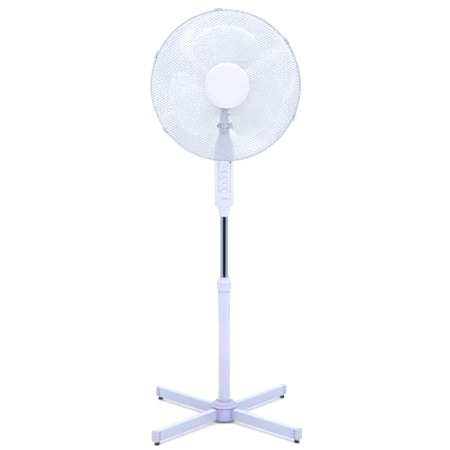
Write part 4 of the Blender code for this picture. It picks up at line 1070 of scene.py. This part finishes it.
# ---- Studio ----
def make_floor():
    bm = bmesh.new()
    bmesh.ops.create_circle(bm, cap_ends=True, segments=96, radius=1.7)
    mesh = bpy.data.meshes.new("studio_floor")
    bm.to_mesh(mesh)
    bm.free()
    floor = add_object("studio_floor", mesh)
    mesh.materials.append(surface("floor_paper", ((0.84, 0.84, 0.85), (0.86, 0.86, 0.87)), (0.55, 0.65),
                                  (90, 0.0001), mottle=1.5))


def blend(tree, share, first, second):
    """A mix of two shaders: the second one where the share is 1."""
    mix = node(tree, "MixShader")
    tree.links.new(share, mix.inputs["Fac"])
    tree.links.new(first, mix.inputs[1])
    tree.links.new(second, mix.inputs[2])
    return mix.outputs["Shader"]


def make_world():
    """Even pale light, stronger from above, with a dark stretch in front of the fan.

    Only reflections see the dark stretch, and the camera sees a plain white backdrop.
    """
    world = bpy.data.worlds.new("studio")
    world.use_nodes = True
    bpy.context.scene.world = world
    tree = world.node_tree
    tree.nodes.clear()
    link = tree.links.new
    coords = node(tree, "TexCoord")
    parts = node(tree, "SeparateXYZ")
    link(coords.outputs["Generated"], parts.inputs["Vector"])
    dark = node(tree, "MapRange", From_Min=-0.62, From_Max=-0.8, To_Min=0.0, To_Max=1.0)
    dark.interpolation_type = "SMOOTHSTEP"
    link(parts.outputs["Y"], dark.inputs["Value"])
    path = node(tree, "LightPath")
    height = node(tree, "MapRange", From_Min=-0.05, From_Max=1.0, To_Min=0.56, To_Max=1.8)
    link(parts.outputs["Z"], height.inputs["Value"])
    pale = node(tree, "Background", Color=(1.0, 1.0, 1.0, 1))
    link(height.outputs["Result"], pale.inputs["Strength"])
    shade = node(tree, "Background", Color=(0.012, 0.016, 0.035, 1), Strength=1.0)
    backdrop = node(tree, "Background", Color=(1, 1, 1, 1), Strength=BACKDROP_STRENGTH)
    gleam = node(tree, "Background", Color=(0.8, 0.88, 1.0, 1), Strength=0.85)
    mirrored = blend(tree, dark.outputs["Result"], gleam.outputs["Background"],
                     shade.outputs["Background"])
    lit = blend(tree, path.outputs["Is Glossy Ray"], pale.outputs["Background"], mirrored)
    final = blend(tree, path.outputs["Is Camera Ray"], lit, backdrop.outputs["Background"])
    out = node(tree, "OutputWorld")
    link(final, out.inputs["Surface"])


def area_light(name, at, target, size, power, colour=(1, 1, 1), seen=True):
    light = bpy.data.lights.new(name, "AREA")
    light.shape = "RECTANGLE"
    light.size, light.size_y = size
    light.energy = power
    light.color = colour
    lamp = add_object(name, light)
    lamp.location = at
    lamp.visible_glossy = seen
    lamp.rotation_euler = (Vector(target) - Vector(at)).to_track_quat("-Z", "Y").to_euler()


def make_camera():
    data = bpy.data.cameras.new("camera")
    data.lens = LENS
    data.sensor_width = SENSOR
    camera = add_object("camera", data)
    camera.location = CAMERA_AT
    camera.rotation_euler = (math.radians(90 - CAMERA_PITCH), 0, math.radians(CAMERA_PAN))
    bpy.context.scene.camera = camera


make_base()
make_clamp_nut()
make_mast()
make_housing()
make_tilt_joint()
make_neck()
make_motor()
make_blades()
make_guards()
finish_kept_nodes()
make_floor()
make_world()
area_light("key_left", (-2.2, -1.8, 2.6), (0, 0, 0.7), (1.6, 2.0), 13.5)
area_light("front", (0.1, -2.9, 0.9), (0, 0, 1.0), (1.8, 1.0), 12.5, seen=False)
area_light("fill_right", (2.4, -1.4, 1.8), (0, 0, 0.7), (1.6, 2.0), 15.5)
area_light("top", (0, 0.2, 3.2), (0, 0, 0.6), (5.0, 5.0), 70, (1.0, 0.9, 0.72))
bpy.context.scene.view_settings.view_transform = "Standard"
make_camera()
